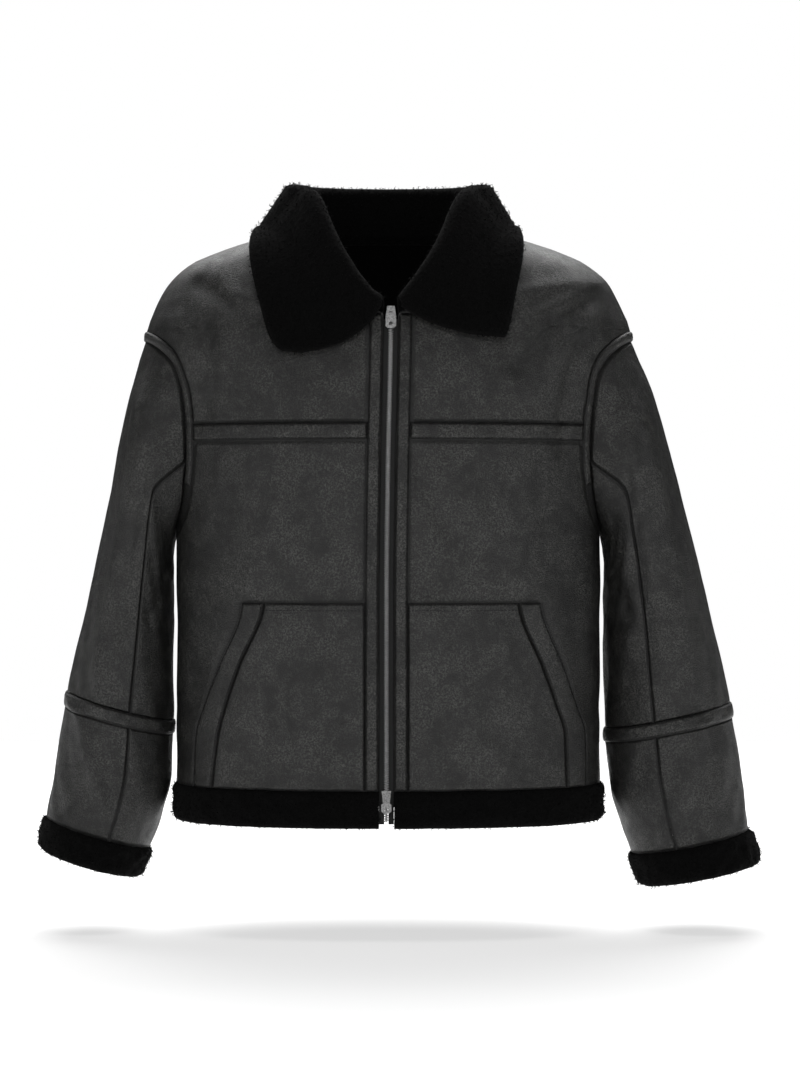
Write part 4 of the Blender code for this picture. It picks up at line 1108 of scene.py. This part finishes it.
def sleeve_push(side, turn, row):
    total = np.zeros(np.broadcast(turn, row).shape)
    for fold in SLEEVE_FOLDS:
        if fold["side"] != side:
            continue
        run_t = (fold["turn_b"] - fold["turn_a"]) * METRES_A_TURN
        run_r = (fold["row_b"] - fold["row_a"]) * METRES_A_ROW
        length = math.hypot(run_t, run_r)
        off_t = ((turn - fold["turn_a"] + 180) % 360 - 180) * METRES_A_TURN
        off_r = (row - fold["row_a"]) * METRES_A_ROW
        along = (off_t * run_t + off_r * run_r) / length
        aside = (off_t * run_r - off_r * run_t) / length
        t = np.clip(along / length, 0, 1)
        aside = aside - fold["bow"] * 4 * t * (1 - t)
        past = along - t * length
        total += fold["push"] * np.exp(-(aside ** 2 + past ** 2) / fold["reach"] ** 2)
    return total


def tube_normals(lines):
    up = np.concatenate([lines[:1], lines[:-1]])
    down = np.concatenate([lines[1:], lines[-1:]])
    around = np.roll(lines, -1, axis=1) - np.roll(lines, 1, axis=1)
    normal = unit(np.cross(around, down - up))
    centre = lines.mean(axis=1, keepdims=True)
    facing = ((normal * (lines - centre)).sum(-1).mean() > 0)
    return normal if facing else -normal


SLEEVE = {}


def sleeve_tube(side):
    seam = arm_seam(side, TURNS)
    rings = [seam["point"]] + [ring(row, side, TURNS) for row in SLEEVES[side]]
    curve = Curve(np.arange(11), np.array(rings))
    lines = curve(ROW_PLACES)
    normals = tube_normals(lines)
    row, turn = np.meshgrid(ROW_PLACES, TURNS, indexing="ij")
    push = sleeve_push(side, turn, row)
    push += ripple(turn * METRES_A_TURN, row * METRES_A_ROW, 2.0 + side, 0.0045)
    fade = np.clip(row / 0.5, 0, 1) * np.clip((10 - row) / 0.3, 0, 1)
    lines = lines + normals * (push * fade)[..., None]
    normals = tube_normals(lines)
    return lines, normals, seam


def sleeve_piece(side, node, first, last, start, count):
    lines, normals, seam = SLEEVE[side]
    columns = (start + np.arange(count + 1)) % len(TURNS)
    points = lines[first:last + 1][:, columns]
    face = normals[first:last + 1][:, columns]
    moved = pull_in(points, HALF if first else 0.0, HALF, HALF, HALF)
    wall = -face * HIDE
    if first == 0:
        moved[0] = points[0] + seam["across"][columns] * HALF
        wall[0] = seam["wall"][columns]
    # Edge weight 0 marks seam lines, where the leather colour is darkened as painted seam shade.
    edge = np.ones(moved.shape[:2])
    edge[0] = edge[-1] = 0.0
    edge[:, 0] = edge[:, -1] = 0.0
    if first:
        edge[:BAND_END - BAND_START + 1] = 0.0
    sheet = Sheet()
    sheet.lattice(sheet.points(moved, moved + wall, edge))
    return sheet.make("fine_" + node, LEATHER, LINING)


UNDER = 36
UNDER_END = 84
BAND_START = sum(ROW_STEPS[:6])
BAND_END = sum(ROW_STEPS[:7])
for side in (LEFT, RIGHT):
    name = side_name(side)
    SLEEVE[side] = sleeve_tube(side)
    whole = len(ROW_PLACES) - 1
    around = len(TURNS)
    for node, first, last, start, count in (
            ("sleeve_upper_", 0, BAND_START, UNDER_END, UNDER + around - UNDER_END),
            ("sleeve_under_", 0, BAND_START, UNDER, UNDER_END - UNDER),
            ("forearm_upper_", BAND_START, whole, UNDER_END, UNDER + around - UNDER_END),
            ("forearm_under_", BAND_START, whole, UNDER, UNDER_END - UNDER)):
        piece = sleeve_piece(side, node + name, first, last, start, count)
        rests = ["front_yoke_" + name, "back"] if first == 0 else ["sleeve_upper_" + name]
        declare(piece, node + name, rests)
    lines, normals, seam = SLEEVE[side]
    loop = np.append(np.arange(around), 0)
    points = lines[BAND_START:BAND_END + 1][:, loop]
    face = normals[BAND_START:BAND_END + 1][:, loop]
    points = pull_in(points, HALF, HALF)
    places = np.concatenate([[0, 0.12, 0.3, 0.6], np.arange(1, 4), [3.4, 3.7, 3.88, 4.0]])
    points, face = resampled(points, places, 0), unit(resampled(face, places, 0))
    down = lengths(points, 0)
    near = np.minimum(down, down[-1:] - down)
    full = np.sqrt(1 - (1 - np.clip(near / 0.007, 0, 1)) ** 2) * 0.88 + 0.12
    outer = points + face * (SEAM + (TRIM + 0.0010) * full)[..., None]
    inner = points + face * SEAM
    sheet = Sheet()
    # The edge weight falls to 0 at both stitched rims, darkening the band's colour there as painted
    # seam shade.
    ids = sheet.points(outer[:, :-1], inner[:, :-1], np.clip(near / 0.0032, 0, 1)[:, :-1])
    sheet.lattice(np.concatenate([ids, ids[:, :1]], axis=1))
    piece = sheet.make("fine_sleeve_band_" + name, BAND, BAND)
    declare(piece, "sleeve_band_" + name, ["sleeve_upper_" + name])
print("sleeves", len(ROW_PLACES), "rows by", len(TURNS), "columns")

# %% [markdown]
# Wool pile stands on the collar, the hem band and the turn-ups. Their bodies are soft
# shells with an uneven, cushioned face, and a Geometry Nodes tree sets a curl on each
# point scattered over that face.

# %% wool bodies


def lumps(points, size, height, seed):
    """Uneven cushioning of the pile: a few crossing waves, the same on every run."""
    rng = np.random.default_rng(seed)
    total = np.zeros(points.shape[:-1])
    for _ in range(14):
        heading = unit(rng.normal(size=3))
        total += np.sin((points @ heading) * 2 * math.pi / (size * rng.uniform(0.7, 1.6))
                        + rng.uniform(0, 6.28))
    return total * height / 4


def closed_ring(sheet, outer, inner):
    ids = sheet.points(outer, inner)
    sheet.lattice(np.concatenate([ids, ids[:, :1]], axis=1))


def grown(row, amount, drop):
    width = math.hypot(row["outer_x"] - row["inner_x"], row["outer_z"] - row["inner_z"])
    grow_x = (row["outer_x"] - row["inner_x"]) / width * amount
    grow_z = (row["outer_z"] - row["inner_z"]) / width * amount
    return {"outer_x": row["outer_x"] + grow_x, "outer_z": row["outer_z"] + grow_z - drop,
            "inner_x": row["inner_x"] - grow_x, "inner_z": row["inner_z"] - grow_z - drop,
            "half_depth": row["half_depth"] + amount, "middle_y": row["middle_y"]}


def cuff(side):
    top = grown(SLEEVES[side][-1], CUFF_PROUD, 2 * SEAM)
    foot = CUFF_FOOT[side]
    inset = Curve((0.0, 0.05, 0.16, 0.5, 0.84, 0.95, 1.0),
                  (0.0042, 0.0016, 0.0, -0.0008, 0.0, 0.0016, 0.0042))
    outer, inner = [], []
    for share in np.linspace(0, 1, 15):
        row = {key: top[key] + (foot[key] - top[key]) * share for key in top}
        line = ring(row, side, TURNS)
        inward = unit(line.mean(axis=0) - line)
        outer.append(line + inward * float(inset(share)))
        inner.append(line + inward * 0.0125)
    outer, inner = np.array(outer), np.array(inner)
    away = unit(outer - outer.mean(axis=1, keepdims=True))
    outer = outer + away * lumps(outer, 0.016, 0.0011, 41 + side)[..., None]
    sheet = Sheet()
    closed_ring(sheet, outer, inner)
    piece = sheet.make("fine_cuff_" + side_name(side), WOOL, LINING)
    return piece, sheet.count


def hem_part(node, places):
    out_at = Curve((0.0, 0.05, 0.14, 0.5, 0.86, 0.95, 1.0),
                   (-0.0006, 0.0016, 0.0030, 0.0036, 0.0028, 0.0012, -0.0012))
    outer, inner = [], []
    for share in np.linspace(0, 1, 13):
        height = HEM_TOP - HALF + (HEM_BOTTOM - HEM_TOP) * share
        line, face = places(height)
        outer.append(line + face * float(out_at(share)))
        inner.append(line - face * 0.0095)
    outer, inner = np.array(outer), np.array(inner)
    outer = pull_in(outer, start=HALF, end=HALF)
    inner = pull_in(inner, start=HALF, end=HALF)
    face = unit(outer - inner)
    outer = outer + face * lumps(outer, 0.018, 0.0010, 7)[..., None]
    sheet = Sheet()
    sheet.lattice(sheet.points(outer, inner))
    return sheet.make("fine_" + node, WOOL, LINING), sheet.count


def hem_front(side):
    def places(height):
        gap = EDGE_GAP + side * float(zip_at(height))
        first = float(angle_at(gap, height))
        angle = first + (90 - first) * np.linspace(0, 1, 64)
        return skin(side, angle, height), skin_normal(side, angle, min(height, HEM_TOP))
    return places


def hem_back(height):
    angle = 90 + 90 * np.linspace(0, 1, 64)
    left = skin(LEFT, angle, height)
    right = skin(RIGHT, angle, height)
    left_face = skin_normal(LEFT, angle, min(height, HEM_TOP))
    right_face = skin_normal(RIGHT, angle, min(height, HEM_TOP))
    return (np.concatenate([left, right[-2::-1]]), np.concatenate([left_face, right_face[-2::-1]]))


WOOLLY = []
for side in (LEFT, RIGHT):
    name = side_name(side)
    piece, count = cuff(side)
    declare(piece, "cuff_" + name, ["forearm_upper_" + name])
    WOOLLY.append((piece, count, "cuff_" + name))
    piece, count = hem_part("hem_band_front_" + name, hem_front(side))
    declare(piece, "hem_band_front_" + name, ["front_" + name])
    WOOLLY.append((piece, count, "hem_band_front_" + name))
piece, count = hem_part("hem_band_back", hem_back)
declare(piece, "hem_band_back", ["back"])
WOOLLY.append((piece, count, "hem_band_back"))
print("wool bodies", len(WOOLLY))

# %% [markdown]
# The collar stands on the neck seam, turns over and falls into two leaves. Its path is
# read at each station from the front end to the back middle, and the leaf is held just
# clear of the body.

# %% collar
WALL_MIDDLE = WOOL_WALL / 2
LEAF_FINE = 22


def body_level(points):
    height = np.minimum(points[..., 2], BODY[-1]["height"])
    depth = np.where(points[..., 1] < 0, front_at(height), back_at(height))
    grow = 2 / ROUNDNESS
    value = (np.abs(points[..., 0]) / half_width_at(height)) ** grow \
        + (np.abs(points[..., 1]) / depth) ** grow
    return value ** (1 / grow) - 1


def clear_of_body(points, space):
    tiny = 0.0005
    points = points.copy()
    for _ in range(6):
        level = body_level(points)
        slope = np.stack([(body_level(points + step) - level) / tiny
                          for step in np.eye(3) * tiny], axis=-1)
        size = np.linalg.norm(slope, axis=-1)
        short = np.maximum(space - level / size, 0.0)
        points += slope / size[..., None] * short[..., None]
    return points


def collar_paths(side):
    seam = neck_seam(side, STATIONS)
    rise, outward = seam["rise"], seam["outward"]
    base = seam["point"] + seam["across"] * HALF + seam["wall"] / 2
    straight = np.maximum(rise_at(STATIONS) - FOLD_RADIUS - WALL_MIDDLE, 0.0055)[:, None]
    path = [base + rise * straight * k / 5 for k in range(6)]
    centre = path[-1] + outward * FOLD_RADIUS
    for turn in np.radians(np.linspace(15, 180, 12)):
        path.append(centre - outward * FOLD_RADIUS * math.cos(turn)
                    + rise * FOLD_RADIUS * math.sin(turn))
    leaf = LEAVES[side]
    edge = np.stack([side * column(leaf, "station", "x")(STATIONS),
                     column(leaf, "station", "y")(STATIONS),
                     column(leaf, "station", "z")(STATIONS)], axis=-1)
    sag = column(leaf, "station", "sag")(STATIONS)
    start = path[-1]
    for share in np.arange(1, LEAF_FINE + 1) / LEAF_FINE:
        point = start + (edge - start) * share
        drop = sag * 4 * share * (1 - share)
        point[:, 2] -= drop * 0.9
        point[:, 0] -= side * drop * 0.6
        space = LEAF_CLEAR + WALL_MIDDLE + np.where(np.abs(point[:, 0]) < 0.034, TRIM, 0.0)
        path.append(clear_of_body(point, space))
    return np.stack(path, axis=1)


left_paths = collar_paths(LEFT)
right_paths = collar_paths(RIGHT)
PATHS = np.concatenate([left_paths, right_paths[-2::-1]])
middle = len(STATIONS) - 1
PATHS[middle] = (left_paths[-1] + right_paths[-1] * [1, 1, 1]) / 2
along = np.gradient(PATHS, axis=0)
down = np.gradient(PATHS, axis=1)
COLLAR_FACE = unit(np.cross(along, down))
thick = np.full(PATHS.shape[1], WALL_MIDDLE)
thick[:6] *= 0.75
rim = np.ones(PATHS.shape[:2])
rim[:, -1] = 0.45
rim[:, -2] = 0.86
rim[0] *= 0.5
rim[-1] *= 0.5
rim[1] *= 0.88
rim[-2] *= 0.88
half_wall = (thick[None, :] * rim)[..., None]
soft = lumps(PATHS, 0.020, 0.0012, 3)[..., None]
outer_face = PATHS - COLLAR_FACE * (half_wall + soft)
inner_face = PATHS + COLLAR_FACE * half_wall
left_seam = neck_seam(LEFT, STATIONS)
right_seam = neck_seam(RIGHT, STATIONS[-2::-1])
seam_point = np.concatenate([left_seam["point"] + left_seam["across"] * HALF,
                             right_seam["point"] + right_seam["across"] * HALF])
seam_wall = np.concatenate([left_seam["wall"], right_seam["wall"]])
outer_face[:, 0] = seam_point
inner_face[:, 0] = seam_point + seam_wall
sheet = Sheet()
sheet.lattice(sheet.points(outer_face, inner_face))
COLLAR = sheet.make("fine_collar", WOOL, WOOL)
declare(COLLAR, "collar", ["front_yoke_left", "front_yoke_right", "back"])
WOOLLY.append((COLLAR, 2 * sheet.count, "collar"))
print("collar grid", PATHS.shape[:2])

# %% [markdown]
# One curl is a short tapered coil. The tree scatters points over the marked faces, turns
# each coil away from the surface with a random lean, and joins them in one mesh.

# %% tufts


class Tree:
    """A Geometry Nodes tree with named inputs, built line by line."""

    def __init__(self, name, **inputs):
        self.tree = bpy.data.node_groups.new(name, "GeometryNodeTree")
        self.tree.interface.new_socket("Geometry", in_out="INPUT", socket_type="NodeSocketGeometry")
        self.tree.interface.new_socket("Geometry", in_out="OUTPUT",
                                       socket_type="NodeSocketGeometry")
        self.ids = {}
        for key, (kind, value) in inputs.items():
            made = self.tree.interface.new_socket(key, in_out="INPUT", socket_type=kind)
            self.ids[key] = (made.identifier, value)
        self.start = self.tree.nodes.new("NodeGroupInput")
        self.end = self.tree.nodes.new("NodeGroupOutput")

    def add(self, kind, settings=None, **values):
        node = self.tree.nodes.new(kind)
        for key, value in (settings or {}).items():
            setattr(node, key, value)
        for key, value in values.items():
            place = node.inputs[key.replace("_", " ")]
            if isinstance(value, bpy.types.NodeSocket):
                self.tree.links.new(value, place)
            else:
                place.default_value = value
        return node

    def given(self, key):
        return self.start.outputs[key]

    def finish(self, socket):
        self.tree.links.new(socket, self.end.inputs[0])

    def bake(self, source, name, **values):
        """A plain mesh made by running the tree on an object."""
        change = source.modifiers.new("nodes", "NODES")
        change.node_group = self.tree
        for key, (identifier, value) in self.ids.items():
            change[identifier] = values.get(key, value)
        graph = bpy.context.evaluated_depsgraph_get()
        mesh = bpy.data.meshes.new_from_object(source.evaluated_get(graph))
        source.modifiers.remove(change)
        mesh.name = name
        piece = bpy.data.objects.new(name, mesh)
        bpy.context.scene.collection.objects.link(piece)
        return piece


def curl_object():
    """A tapered coil one unit long, three sided."""
    steps, sides = 5, 3
    points, faces = [], []
    for k in range(steps):
        t = k / (steps - 1)
        spin = t * 4.4
        middle = (0.34 * math.cos(spin) - 0.34, 0.34 * math.sin(spin), t * 0.75)
        radius = 0.20 * (1 - 0.7 * t)
        for s in range(sides):
            a = s * 2 * math.pi / sides
            points.append((middle[0] + radius * math.cos(a), middle[1] + radius * math.sin(a),
                           middle[2]))
    for k in range(steps - 1):
        for s in range(sides):
            n = (s + 1) % sides
            faces.append((k * 3 + s, k * 3 + n, k * 3 + 3 + n, k * 3 + 3 + s))
    faces.append((2, 1, 0))
    faces.append(tuple((steps - 1) * 3 + s for s in range(3)))
    mesh = bpy.data.meshes.new("curl")
    mesh.from_pydata(points, [], faces)
    mesh.polygons.foreach_set("use_smooth", [True] * len(mesh.polygons))
    made = bpy.data.objects.new("curl", mesh)
    bpy.context.scene.collection.objects.link(made)
    made.hide_render = True
    return made


CURL = curl_object()
tufts = Tree("Tufts", Spacing=("NodeSocketFloat", 0.003), Size=("NodeSocketFloat", 0.0034),
             Density=("NodeSocketFloat", 90000.0), Seed=("NodeSocketInt", 1),
             Curl=("NodeSocketObject", None), Finish=("NodeSocketMaterial", None))
marked = tufts.add("GeometryNodeInputNamedAttribute", {"data_type": "BOOLEAN"}, Name="pile")
scatter = tufts.add("GeometryNodeDistributePointsOnFaces", {"distribute_method": "POISSON"},
                    Mesh=tufts.given("Geometry"), Distance_Min=tufts.given("Spacing"),
                    Density_Max=tufts.given("Density"), Seed=tufts.given("Seed"),
                    Selection=marked.outputs["Attribute"])
spin = tufts.add("FunctionNodeRandomValue", {"data_type": "FLOAT_VECTOR"},
                 Min=(-0.75, -0.75, -3.14), Max=(0.75, 0.75, 3.14), Seed=tufts.given("Seed"))
turned = tufts.add("FunctionNodeRotateRotation", {"rotation_space": "LOCAL"},
                   Rotation=scatter.outputs["Rotation"], Rotate_By=spin.outputs["Value"])
scale = tufts.add("FunctionNodeRandomValue", {"data_type": "FLOAT"})
tufts.tree.links.new(tufts.given("Seed"), scale.inputs["Seed"])
scale.inputs[2].default_value = 0.65
scale.inputs[3].default_value = 1.25
sized = tufts.add("ShaderNodeMath", {"operation": "MULTIPLY"})
tufts.tree.links.new(scale.outputs[1], sized.inputs[0])
tufts.tree.links.new(tufts.given("Size"), sized.inputs[1])
coil = tufts.add("GeometryNodeObjectInfo", None, Object=tufts.given("Curl"))
placed = tufts.add("GeometryNodeInstanceOnPoints", None, Points=scatter.outputs["Points"],
                   Instance=coil.outputs["Geometry"], Rotation=turned.outputs["Rotation"],
                   Scale=sized.outputs[0])
real = tufts.add("GeometryNodeRealizeInstances", None, Geometry=placed.outputs["Instances"])
finish = tufts.add("GeometryNodeSetMaterial", None, Geometry=real.outputs["Geometry"],
                   Material=tufts.given("Finish"))
tufts.finish(finish.outputs["Geometry"])

SPACING = 0.0046
for body, count, node in WOOLLY:
    mesh = body.data
    flags = np.zeros(len(mesh.polygons), bool)
    index = np.zeros(len(mesh.polygons), np.int32)
    mesh.polygons.foreach_get("material_index", index)
    if node == "collar":
        flags[:] = True
    else:
        flags = index == 0
    mark = mesh.attributes.new("pile", "BOOLEAN", "FACE")
    mark.data.foreach_set("value", flags)
    piece = tufts.bake(body, "pile_" + node, Spacing=SPACING, Seed=len(node), Curl=CURL, Finish=WOOL)
    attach(piece, "jacket")
    print(piece.name, len(piece.data.polygons), "faces")
bpy.data.objects.remove(CURL, do_unlink=True)

# %% [markdown]
# The zip is a two-way metal one, closed. Teeth sit in turn on the two tape edges and meet
# in the middle. Each tooth is a rounded bar, so one bar is placed along the middle line
# and joined by a tree.

# %% zip
TAPE_HALF = 0.0082
CHAIN_HALF = 0.0029
CHAIN_THICK = 0.0024
CHAIN_TOP = -0.0845
CHAIN_FOOT = -0.640
TOOTH_PITCH = 0.0013


def zip_point(height, across, behind):
    height = np.asarray(height, float)
    return np.stack([zip_at(height) + across, -front_at(height) + behind, height], axis=-1)


def bar(name, size, bevel):
    mesh = bpy.data.meshes.new(name)
    work = bmesh.new()
    bmesh.ops.create_cube(work, size=1.0)
    bmesh.ops.scale(work, vec=size, verts=work.verts[:])
    if bevel:
        bmesh.ops.bevel(work, geom=work.edges[:], offset=bevel, segments=1, affect="EDGES")
    work.to_mesh(mesh)
    work.free()
    made = bpy.data.objects.new(name, mesh)
    bpy.context.scene.collection.objects.link(made)
    made.hide_render = True
    return made


def points_object(name, points, aims=None):
    mesh = bpy.data.meshes.new(name)
    mesh.from_pydata(np.asarray(points).tolist(), [], [])
    if aims is not None:
        store = mesh.attributes.new("aim", "FLOAT_VECTOR", "POINT")
        store.data.foreach_set("vector", np.asarray(aims, np.float32).ravel())
    made = bpy.data.objects.new(name, mesh)
    bpy.context.scene.collection.objects.link(made)
    made.hide_render = True
    return made


along = Tree("Along", Part=("NodeSocketObject", None), Finish=("NodeSocketMaterial", None))
aim = along.add("GeometryNodeInputNamedAttribute", {"data_type": "FLOAT_VECTOR"}, Name="aim")
turn = along.add("FunctionNodeAlignRotationToVector", {"axis": "X"},
                 Vector=aim.outputs["Attribute"])
part = along.add("GeometryNodeObjectInfo", None, Object=along.given("Part"))
spots = along.add("GeometryNodeMeshToPoints", None, Mesh=along.given("Geometry"))
put = along.add("GeometryNodeInstanceOnPoints", None, Points=spots.outputs["Points"],
                Instance=part.outputs["Geometry"], Rotation=turn.outputs["Rotation"])
real = along.add("GeometryNodeRealizeInstances", None, Geometry=put.outputs["Instances"])
finish = along.add("GeometryNodeSetMaterial", None, Geometry=real.outputs["Geometry"],
                   Material=along.given("Finish"))
along.finish(finish.outputs["Geometry"])

heights = np.arange(CHAIN_TOP, CHAIN_FOOT, -TOOTH_PITCH)
offset = np.where(np.arange(len(heights)) % 2 == 0, 0.0007, -0.0007)
teeth = zip_point(heights, offset, 0.0006 + CHAIN_THICK / 2)
aims = np.tile([1.0, 0.0, 0.0], (len(heights), 1))
tooth = bar("tooth", (0.0042, CHAIN_THICK, 0.00105), 0.0003)
spots_object = points_object("teeth_spots", teeth, aims)
chain = along.bake(spots_object, "zip_teeth", Part=tooth, Finish=METAL)
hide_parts("zip_chain")
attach(chain, "jacket")
for spare in (tooth, spots_object):
    bpy.data.objects.remove(spare, do_unlink=True)

for side in (LEFT, RIGHT):
    name = side_name(side)
    height = np.linspace(CHAIN_TOP - 0.002, CHAIN_FOOT - 0.003, 140)
    near, far = side * (CHAIN_HALF - 0.0006), side * TAPE_HALF
    across = np.linspace(near, far, 5)
    face = np.stack([zip_point(height, value, 0.0015) for value in across], axis=1)
    rear = np.stack([zip_point(height, value, 0.0025) for value in across], axis=1)
    sheet = Sheet()
    sheet.lattice(sheet.points(face, rear))
    tape = sheet.make("fine_zip_tape_" + name, TAPE, TAPE)
    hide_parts("zip_tape_" + name)
    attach(tape, "jacket")
print("teeth", len(heights))

# %% [markdown]
# Sewing runs a few millimetres inside each band, placket and pocket edge: 4 mm stitches
# of waxed thread, each a small bead that follows the seam's own line.

# %% stitches
STITCH = 0.0040
LINES = []


def inset_line(points, normals, near, toward_line, distance, lift):
    """A line on a panel at a distance from one grid line toward another."""
    step = unit(toward_line - near)
    return near + step * distance + normals * lift


def resample(line, pitch):
    line = np.asarray(line)
    length = np.concatenate([[0], np.cumsum(np.linalg.norm(np.diff(line, axis=0), axis=1))])
    count = max(int(length[-1] / pitch), 2)
    places = (np.arange(count) + 0.5) * length[-1] / count
    points = np.stack([np.interp(places, length, line[:, k]) for k in range(3)], axis=-1)
    ahead = np.stack([np.interp(places + 0.0005, length, line[:, k]) for k in range(3)], axis=-1)
    return points, unit(ahead - points + 1e-9)


for side in (LEFT, RIGHT):
    yoke, front = YOKE[side], FRONT[side]
    first = len(RIDGE_FINE) - 1
    lift = SEAM + TRIM
    p = np.concatenate([yoke["points"][first:-1], front["points"]])
    n = np.concatenate([yoke["normals"][first:-1], front["normals"]])
    for edge, other, inset in ((0, 2, 0.0022), (PLACKET_CELLS, 2, 0.0020)):
        LINES.append(inset_line(p, n[:, edge], p[:, edge], p[:, other], inset, lift))
    for edge, other in ((0, 1), (3, 2)):
        near = front["points"][edge, PLACKET_CELLS:]
        far = front["points"][other, PLACKET_CELLS:]
        face = front["normals"][edge, PLACKET_CELLS:]
        LINES.append(inset_line(near, face, near, far, 0.0022, lift))
    low = len(ARM_LOW) + list(SIDE_FINE).index(POCKET_TOP)
    stop = PLACKET_CELLS + FRONT_CELLS
    for row, distance in ((0, 0.0022), (0, 0.0085)):
        near = front["points"][low, PLACKET_CELLS:stop]
        far = front["points"][low + 2, PLACKET_CELLS:stop]
        LINES.append(inset_line(near, front["normals"][low, PLACKET_CELLS:stop], near, far, distance,
                                SEAM + 0.0020))
    for edge, other, lift_here in ((stop, stop + 1, SEAM + 0.0032),
                                   (stop + WELT_CELLS, stop + WELT_CELLS - 1, SEAM + 0.0032),
                                   (stop + WELT_CELLS, stop + WELT_CELLS + 1, 0.0)):
        near = front["points"][low:, edge]
        far = front["points"][low:, other]
        LINES.append(inset_line(near, front["normals"][low:, edge], near, far, 0.0022, lift_here))
    turns = np.linspace(-121, 121, 160) % 360
    seam = arm_seam(side, turns)
    strip, wall, face = strip_points(side, seam, 0.001)
    LINES.append(inset_line(strip, face[:, 0], strip[:, 0], strip[:, 1], 0.0020, lift))
    LINES.append(inset_line(strip, face[:, -1], strip[:, -1], strip[:, -2], 0.0022, lift))
    lines, normals, seam = SLEEVE[side]
    loop = np.append(np.arange(len(TURNS)), 0)
    for row, other in ((BAND_START, BAND_START + 1), (BAND_END, BAND_END - 1)):
        near, far = lines[row][loop], lines[other][loop]
        LINES.append(inset_line(near, normals[row][loop], near, far, 0.0020, lift))
spots, aims = [], []
for line in LINES:
    points, ahead = resample(line, STITCH)
    spots.append(points)
    aims.append(ahead)
bead = bar("bead", (0.0029, 0.00075, 0.00075), 0.00028)
spots_object = points_object("stitch_spots", np.concatenate(spots), np.concatenate(aims))
stitches = along.bake(spots_object, "stitches", Part=bead, Finish=THREAD)
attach(stitches, "jacket")
for spare in (bead, spots_object):
    bpy.data.objects.remove(spare, do_unlink=True)
print("stitches", sum(len(points) for points in spots))

# %% [markdown]
# The sliders and pull tabs are rigid metal and keep the frame's own shape. Anything else
# of the frame that is still shown gets its finish through its own material slot.

# %% carried over
for item in list(bpy.context.scene.objects):
    if item.type == "MESH" and not item.hide_render and item.name.startswith(("slider", "pull")):
        for place in item.material_slots:
            place.material = METAL
        print("kept", item.name)

# %% [markdown]
# The jacket floats as if worn, over a plain pale floor, under one broad soft light from
# above and the front, with a softer one from either side. The world looks white, but it
# lights the jacket only faintly, so that black leather stays black.

# %% stage, light and camera
FLOOR = -0.775


def material_plain(name, shade, rough):
    made, shader, place = new_material(name)
    feed(shader, Base_Color=(shade, shade, shade, 1.0), Roughness=rough)
    return made


points = [(x, y, FLOOR) for y in (-3.0, 2.6) for x in (-4.0, 4.0)]
paper = material_plain("paper", 0.88, 0.9)
glow = paper.node_tree.nodes["Principled BSDF"].inputs
glow["Emission Color"].default_value = (1.0, 1.0, 1.0, 1.0)
glow["Emission Strength"].default_value = 0.55
backdrop = make_piece("floor", points, [(0, 1, 3, 2)], (paper,))


def lamp(name, place, aim, size, power):
    light = bpy.data.lights.new(name, "AREA")
    light.shape = "RECTANGLE"
    light.size, light.size_y = size
    light.energy = power
    item = bpy.data.objects.new(name, light)
    item.location = place
    item.rotation_euler = (Vector(aim) - Vector(place)).to_track_quat("-Z", "Y").to_euler()
    bpy.context.scene.collection.objects.link(item)


lamp("key", (-0.15, -2.9, 0.75), (0, 0, -0.30), (0.9, 0.6), 19)
lamp("right", (2.0, -1.7, 0.5), (0, 0, -0.35), (0.4, 1.0), 4.5)
lamp("left", (-2.0, -1.7, 0.5), (0, 0, -0.35), (0.4, 1.0), 4)
lamp("top", (0.0, -0.6, 1.9), (0, 0, -0.2), (1.2, 0.5), 7)
lamp("paper", (0.0, 1.6, 1.9), (0.0, 0.9, FLOOR), (3.0, 2.0), 90)
world = bpy.data.worlds.new("world")
world.use_nodes = True
shown = world.node_tree.nodes.new("ShaderNodeLightPath")
strength = world.node_tree.nodes.new("ShaderNodeMapRange")
world.node_tree.links.new(shown.outputs["Is Camera Ray"], strength.inputs["Value"])
strength.inputs["To Min"].default_value = 0.05
strength.inputs["To Max"].default_value = 1.0
sky = world.node_tree.nodes["Background"]
sky.inputs["Color"].default_value = (1.0, 1.0, 1.0, 1.0)
world.node_tree.links.new(strength.outputs["Result"], sky.inputs["Strength"])
bpy.context.scene.world = world
bpy.context.scene.view_settings.view_transform = "Standard"

camera = bpy.data.objects.new("camera", bpy.data.cameras.new("camera"))
camera.location = (0.0132, -2.93, -0.323)
camera.rotation_euler = (math.pi / 2, 0.0, 0.0)
camera.data.lens = 86
camera.data.sensor_width = 36
bpy.context.scene.collection.objects.link(camera)
bpy.context.scene.camera = camera
